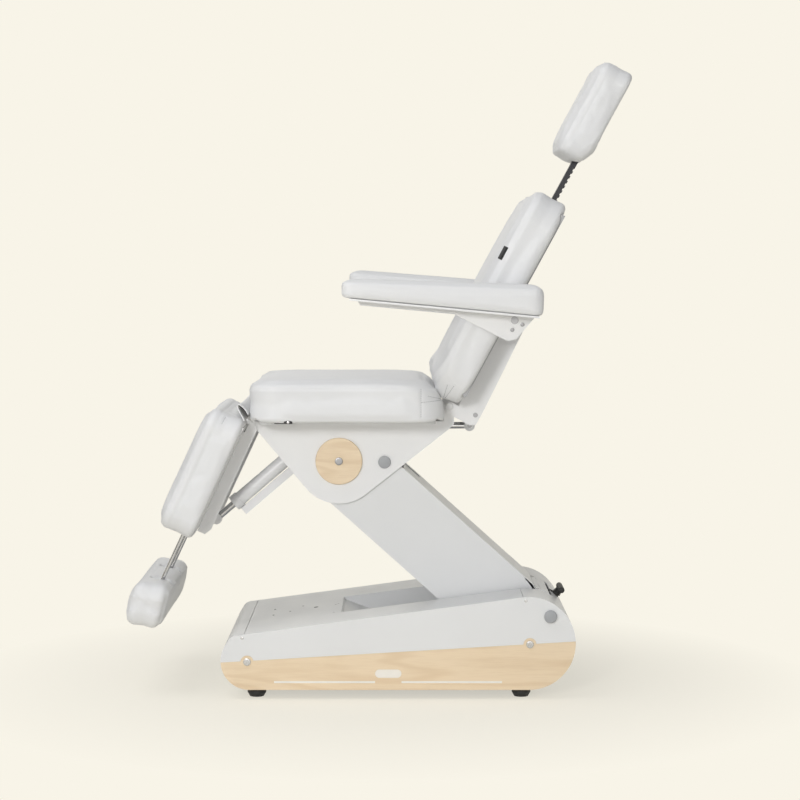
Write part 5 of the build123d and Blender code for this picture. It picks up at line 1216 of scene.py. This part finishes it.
@dataclass
class KneeFlap(Dresser):
    """The cover's thin tail over the knee: a folded sleeve that bridges from the calf pad to the seat."""

    half: float = 250.0 * MM
    steps: int = 24
    thick: float = 2.6 * MM
    profile: tuple[Place, ...] = (
        mm(-337.0, 691.0),
        mm(-343.5, 704.0),
        mm(-350.0, 717.0),
        mm(-354.6, 727.5),
        mm(-353.4, 732.2),
        mm(-348.4, 732.6),
        mm(-340.5, 726.5),
        mm(-332.5, 717.0),
        mm(-327.6, 707.5),
    )
    sag: float = 5.0 * MM
    sag_from: float = 705.0 * MM
    sag_soft: float = 30.0 * MM
    blend_x: Place = mm(-322.0, -346.0)
    blend_z: float = 715.0 * MM

    def outline(self) -> Piece:
        """The side profile of the sleeve as an open line at its near end."""
        curve = bpy.data.curves.new("knee_flap", "CURVE")
        curve.dimensions = "3D"
        spline = curve.splines.new("NURBS")
        spline.points.add(len(self.profile) - 1)
        for knot, (x, z) in zip(spline.points, self.profile):
            knot.co = (x, -self.half, z, 1.0)
        spline.order_u = 3
        spline.use_endpoint_u = True
        spline.resolution_u = 4
        return curve_to_mesh("knee_flap", curve)

    def build(self) -> None:
        """Draws the sleeve across the chair, sags its middle and thickens it."""
        flap = self.outline()
        stride = 2 * self.half / self.steps
        with editing(flap):
            for _ in range(self.steps):
                bpy.ops.mesh.extrude_region_move(TRANSFORM_OT_translate={"value": (0.0, stride, 0.0)})
        face_outward(flap)
        points = read_points(flap)
        middle = 1.0 - (points[:, 1] / self.half) ** 2
        points[:, 2] -= self.sag * middle * np.clip((points[:, 2] - self.sag_from) / self.sag_soft, 0.0, 1.0)
        write_points(flap, points)
        thicken(flap, self.thick)
        break_edges(flap, self.thick / 3, 2)
        dress(flap, self.paint.get(Finish.UPHOLSTERY))
        smooth_by_angle(flap, 60.0)
        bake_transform(flap)
        LOG.info("knee flap sewn")


@dataclass
class BackLabel(Dresser):
    """The bare woven label, wrapped over the front edge of the backrest's near side."""

    u: float = 403.0 * MM
    t: float = 76.0 * MM
    y: float = -260.0 * MM
    lean: float = 34.0
    length: float = 36.0 * MM
    width: float = 19.0 * MM
    thick: float = 0.7 * MM
    edge: float = 0.2 * MM
    lift: float = 0.6
    away: float = 30.0 * MM

    def build(self, cover: Piece) -> None:
        """Lays the label on the finished backrest cover."""
        add = bpy.ops.mesh.primitive_grid_add
        label = primitive(add, "back_label", x_subdivisions=18, y_subdivisions=10, size=1.0)
        grid = read_points(label)
        tree = surface_of(cover)
        lean = math.radians(self.lean)
        facing_out = BACK.at(0.0, 0.0, 1.0) - BACK.at(0.0, 0.0, 0.0)
        inward = Vector((0.0, math.cos(lean), 0.0)) - facing_out * math.sin(lean)
        for index, (across, along, _) in enumerate(grid):
            reach = along * self.width
            t = self.t + reach * math.cos(lean)
            y = self.y + reach * math.sin(lean)
            start = BACK.at(self.u + across * self.length, y, t) - inward * self.away
            place, normal, _, _ = tree.ray_cast(start, inward)
            grid[index] = place + normal * (self.thick * self.lift)
        write_points(label, grid)
        add_modifier(label, "SMOOTH", factor=0.5, iterations=3)
        face_outward(label)
        thicken(label, self.thick)
        break_edges(label, self.edge, 2)
        dress(label, self.paint.get(Finish.LABEL))
        smooth_by_angle(label, 40.0)
        hand_in(label, Slot.LABEL, Body.BACK, "back_tag")
        LOG.info("label laid on the backrest")


@dataclass
class Pedal(Dresser):
    """The rocking tee pedal at the tail: a ribbed neck and a soft-ended bar."""

    root: Place = mm(452.5, 216.5)
    aim: float = 54.0
    tail: float = 11.0 * MM
    reach: float = 26.0 * MM
    stem: float = 8.5 * MM
    stem_edge: float = 0.6 * MM
    boot: float = 11.2 * MM
    boot_edge: float = 1.0 * MM
    boot_step: float = 0.5 * MM
    boot_start: float = 7.0 * MM
    boot_share: float = 0.86
    bar: float = 8.0 * MM
    bar_edge: float = 0.4
    bar_half: float = 47.0 * MM
    rings: int = 4

    def way(self) -> Vector:
        """The direction in which the neck stands out."""
        lean = math.radians(self.aim)
        return Vector((math.cos(lean), 0.0, math.sin(lean)))

    def at(self, reach: float) -> Vector:
        """A place along the neck's axis."""
        return Vector((self.root[0], 0.0, self.root[1])) + self.way() * reach

    def drum(self, radius: float, low: float, high: float, edge: float) -> Piece:
        """A round length of the neck with soft rims."""
        add = bpy.ops.mesh.primitive_cylinder_add
        piece = primitive(add, "drum", vertices=40, radius=radius, depth=high - low)
        break_edges(piece, edge, 3)
        piece.data.transform(facing(self.at((low + high) / 2), self.way()))
        return piece

    def build(self) -> None:
        """Models the pedal over its solid."""
        parts = [self.drum(self.stem, -self.tail, self.reach, self.stem_edge)]
        run = (self.reach - self.boot_start - self.bar * self.bar_edge) / self.rings
        for index in range(self.rings):
            low = self.boot_start + run * index
            size = self.boot - self.boot_step * index
            parts.append(self.drum(size, low, low + run * self.boot_share, self.boot_edge))
        add = bpy.ops.mesh.primitive_cylinder_add
        bar = primitive(add, "bar", vertices=48, radius=self.bar, depth=self.bar_half * 2)
        break_edges(bar, self.bar * self.bar_edge, 5)
        bar.data.transform(facing(self.at(self.reach), Vector((0.0, 1.0, 0.0))))
        pedal = self.gather([*parts, bar], "tee_pedal", Finish.RUBBER)
        smooth_by_angle(pedal, 35.0)
        hand_in(pedal, Slot.BLACK_RUBBER, Body.PEDAL, "foot_pedal")
        LOG.info("pedal modelled")


@dataclass
class TailDetails(Dresser):
    """The rounded nose that closes the arm's end in its opening, and the lip that narrows the tail's slot."""

    shaft: Place = mm(307.5, 209.7)
    arm_degrees: float = 138.1
    flange: float = 94.5 * MM
    nose: float = 97.4 * MM
    nose_back: float = 30.0 * MM
    nose_end: float = -8.0
    arm_half: float = 114.4 * MM
    tail: Place = mm(370.0, 139.3)
    tail_radius: float = 116.7 * MM
    lip_from: float = 58.2
    lip_to: float = 70.6
    lip_half: float = 113.8 * MM
    thick: float = 1.4 * MM
    turns: int = 18

    def arc(self, centre: Place, radius: float, low: float, high: float) -> list[Place]:
        """Places on an arc of the side view between two angles."""
        places = []
        for index in range(self.turns + 1):
            angle = math.radians(low + (high - low) * index / self.turns)
            places.append((centre[0] + radius * math.cos(angle), centre[1] + radius * math.sin(angle)))
        return places

    def bent(self, name: str, profile: Sequence[Place], half: float, finish: Finish) -> Piece:
        """A bent sheet that runs across the chair with the given side profile."""
        sheet = primitive(bpy.ops.mesh.primitive_plane_add, name, size=1.0)
        last = len(profile) - 1
        with editing(sheet):
            bpy.ops.mesh.subdivide(number_cuts=last - 1)
        points = read_points(sheet)
        for index, (x, y, _) in enumerate(points):
            place = profile[min(max(round((x + 0.5) * last), 0), last)]
            points[index] = (place[0], 2 * half * y, place[1])
        write_points(sheet, points)
        face_outward(sheet)
        thicken(sheet, self.thick)
        dress(sheet, self.paint.get(finish))
        smooth_by_angle(sheet, 35.0)
        return sheet

    def build(self) -> None:
        """Makes both sheets."""
        way = math.radians(self.arm_degrees)
        along = (math.cos(way), math.sin(way))
        side = (math.sin(way), -math.cos(way))
        reach = math.sqrt(self.nose**2 - self.flange**2)
        profile = []
        for run in (self.nose_back, 0.0, -reach):
            axes = zip(self.shaft, side, along)
            profile.append(tuple(place + out * self.flange + on * run for place, out, on in axes))
        start = self.arm_degrees - 90.0 - math.degrees(math.asin(reach / self.nose))
        profile += self.arc(self.shaft, self.nose, start, self.nose_end)[1:]
        hand_in(self.bent("arm_nose", profile, self.arm_half, Finish.ARM), Slot.FRAME_PAINT, Body.LIFT_ARM)
        curl = self.arc(self.tail, self.tail_radius, self.lip_from, self.lip_to)
        hand_in(self.bent("slot_lip", curl, self.lip_half, Finish.COVER), Slot.COVER_PAINT, Body.ROOT)
        LOG.info("tail details made")


@dataclass
class CoverStuds(Dresser):
    """Small press studs in the top of the base cover, and the latch buttons under the seat."""

    slope: float = 7.46
    skin: Place = mm(-336.9, 162.1)
    studs: tuple[Place, ...] = (
        mm(-280.0, 67.0),
        mm(-279.5, -28.0),
        (-237.0 * MM, 0.0),
        mm(-206.0, 62.0),
        mm(-119.0, 15.0),
        mm(-112.0, 21.0),
        mm(-120.0, -114.0),
    )
    stud_turn: float = 17.0
    plug: Place = mm(-170.0, 12.7)
    plug_turn: float = 30.0
    latch: Place = mm(-227.5, 690.0)
    latch_y: float = 270.0 * MM
    button_out: float = 1.4 * MM

    def spot(self, x: float, y: float, turn: float) -> Spot:
        """A place on the cover's sloping top, looking squarely out of it."""
        lean = math.radians(self.slope)
        z = self.skin[1] + (x - self.skin[0]) * math.tan(lean)
        return (Vector((x, y, z)), Vector((-math.sin(lean), 0.0, math.cos(lean))), turn)

    def build(self) -> None:
        """Places the studs on the cover and the buttons on the latches."""
        spots = [self.spot(*place, self.stud_turn * index) for index, place in enumerate(self.studs)]
        heads = self.put(Kind.COVER_STUD, spots)
        heads += self.put(Kind.COVER_PLUG, [self.spot(*self.plug, self.plug_turn)])
        hand_in(self.gather(heads, "cover_studs", Finish.PLASTIC), Slot.GREY_PLASTIC, Body.ROOT)
        windows = self.put(Kind.LATCH_WINDOW, both_sides((self.latch,), self.latch_y, first=0.0))
        hand_in(self.gather(windows, "latch_windows", Finish.PLASTIC), Slot.GREY_PLASTIC, Body.CARRIER)
        out = self.latch_y + self.button_out
        buttons = self.put(Kind.LATCH_BUTTON, both_sides((self.latch,), out, first=0.0))
        hand_in(self.gather(buttons, "latch_buttons", Finish.STEEL), Slot.BRIGHT_STEEL, Body.CARRIER)
        LOG.info("studs and latch buttons placed")


@dataclass(frozen=True)
class Lamp:
    """One soft square lamp: where it stands, how wide it is and its power."""

    place: Triple
    size: float
    watts: float


LAMPS: dict[str, Lamp] = {
    "key": Lamp(place=(-1.5, -5.7, 2.0), size=0.9, watts=113.0),
    "front": Lamp(place=(0.4, -6.2, 0.8), size=2.4, watts=24.0),
    "top": Lamp(place=(-1.8, -0.8, 4.0), size=2.4, watts=42.0),
    "behind": Lamp(place=(-1.2, 5.6, 2.6), size=2.0, watts=8.0),
}
FLAGS: dict[str, tuple[Triple, Place]] = {
    "left_flag": ((-3.2, -1.6, 0.9), (1.9, 4.0)),
    "right_flag": ((2.6, -3.0, 0.9), (1.2, 4.0)),
    "back_flag": ((-2.2, 3.0, 0.9), (1.6, 4.0)),
}


@dataclass
class Studio(Dresser):
    """Pale sweep, soft lamps, the black cards that the chrome mirrors, and the photograph's camera."""

    camera_place: Triple = (0.0495, -5.70, 1.086)
    pitch: float = 3.59
    lens: float = 99.0
    film: float = 36.0
    far: float = 60.0
    cream: Colour = (0.939, 0.905, 0.807)
    fill: Colour = (0.95, 0.965, 1.0)
    fill_around: float = 0.18
    fill_front: float = 0.35
    fill_above: float = 0.20
    floor_radius: float = 9.0
    fade_from: float = 0.5
    fade_to: float = 1.15
    lamp_aim: Triple = (0.0, 0.0, 0.75)
    flag_aim: Triple = (0.0, 0.0, 0.8)

    def place_camera(self) -> None:
        """Sets the camera level with the upper backrest, looking slightly down."""
        data = bpy.data.cameras.new("photo_camera")
        data.lens = self.lens
        data.sensor_width = self.film
        data.sensor_fit = "HORIZONTAL"
        data.clip_end = self.far
        camera = add_object("photo_camera", data)
        camera.location = self.camera_place
        camera.rotation_euler = (math.radians(90.0 - self.pitch), 0.0, 0.0)
        bpy.context.scene.camera = camera

    def place_lamps(self) -> None:
        """A soft key from the upper left, a low frontal fill, a wide lamp above and a weak one behind."""
        for name, lamp in LAMPS.items():
            data = bpy.data.lights.new(name, "AREA")
            data.shape = "SQUARE"
            data.size = lamp.size
            data.energy = lamp.watts
            item = add_object(name, data)
            item.location = lamp.place
            aim = Vector(self.lamp_aim) - Vector(lamp.place)
            item.rotation_euler = aim.to_track_quat("-Z", "Y").to_euler()

    def place_flags(self) -> None:
        """Black cards that only shine in the chrome, as a studio's flags do."""
        for name, (place, size) in FLAGS.items():
            card = primitive(bpy.ops.mesh.primitive_plane_add, name, (*size, 1.0), size=1.0)
            card.location = place
            card.rotation_euler = (Vector(self.flag_aim) - Vector(place)).to_track_quat("Z", "Y").to_euler()
            settle(card)
            for ray in ("camera", "diffuse", "shadow", "transmission"):
                setattr(card, f"visible_{ray}", False)
            dress(card, self.paint.get(Finish.PLASTIC))

    def slant(self, sheet: NodeSheet) -> Socket:
        """How strong the fill is by direction: most from the front, some from above."""
        coordinates = sheet.add("ShaderNodeTexCoord").outputs["Generated"]
        way = sheet.add("ShaderNodeSeparateXYZ", {0: coordinates}).outputs
        front = sheet.reach(way["Y"], 0.0, -1.0, self.fill_around, self.fill_around + self.fill_front)
        above = sheet.reach(way["Z"], 0.0, 1.0, 0.0, self.fill_above)
        return sheet.calculate("ADD", front, above)

    def sky(self) -> None:
        """A cream backdrop to look at, and a neutral fill for what it lights."""
        world = bpy.data.worlds.new("studio")
        world.use_nodes = True
        sheet = NodeSheet(world.node_tree)
        sheet.tree.nodes.clear()
        output = sheet.add("ShaderNodeOutputWorld")
        lit = sheet.add("ShaderNodeBackground", {"Color": rgba(self.fill), "Strength": self.slant(sheet)})
        shown = sheet.add("ShaderNodeBackground", {"Color": rgba(self.cream)})
        mix = sheet.mix_shaders(sheet.seen(), lit, shown)
        sheet.tree.links.new(mix.outputs[0], output.inputs["Surface"])
        bpy.context.scene.world = world

    def floor(self) -> None:
        """A round floor that takes the chair's shadow near it and fades into the backdrop."""
        add = bpy.ops.mesh.primitive_circle_add
        ground = primitive(add, "studio_floor", vertices=96, radius=self.floor_radius, fill_type="NGON")
        paper = rgba(self.cream)
        sheet = SurfaceSheet("floor_paper", Base_Color=paper, Roughness=0.9, Specular_IOR_Level=0.1)
        glow = sheet.add("ShaderNodeEmission", {"Color": paper})
        length = sheet.add("ShaderNodeVectorMath", {0: sheet.place}, operation="LENGTH").outputs["Value"]
        fade = sheet.reach(length, self.fade_from, self.fade_to, 0.6, 1.0)
        share = sheet.calculate("MULTIPLY", fade, sheet.seen())
        mix = sheet.mix_shaders(share, sheet.shader, glow)
        sheet.tree.links.new(mix.outputs[0], sheet.tree.nodes["Material Output"].inputs["Surface"])
        dress(ground, sheet.material)

    def build(self) -> None:
        """Sets up the whole studio."""
        bpy.context.scene.view_settings.view_transform = "Standard"
        self.place_camera()
        self.place_lamps()
        self.place_flags()
        self.sky()
        self.floor()


def paint_nodes(paint: Paintbox, nodes: Mapping[str, Piece]) -> None:
    """Gives every kept node of the frame its finish."""
    for finish, names in NODE_FINISHES.items():
        for name in names:
            dress(nodes[name], paint.get(finish))
            LOG.info("%s is %s", name, finish.name.lower())


def main() -> None:
    """Builds the chair's dressing in order and reports each piece."""
    logging.basicConfig(level=logging.INFO, format="%(name)s: %(message)s")
    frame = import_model()
    clear_selection()
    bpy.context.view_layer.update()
    paint = Paintbox()
    paint_nodes(paint, frame["nodes"])
    Fixings(paint).build()
    CoverStuds(paint).build()
    Pedal(paint).build()
    TailDetails(paint).build()
    seat_cushion(paint).build()
    BackLabel(paint).build(back_cushion(paint).build())
    leg_cushion(paint).build()
    KneeFlap(paint).build()
    foot_cushion(paint).build()
    head_cushion(paint).build()
    for cushion in armrest_cushions(paint):
        cushion.build()
    Studio(paint).build()


if __name__ == "__main__":
    main()
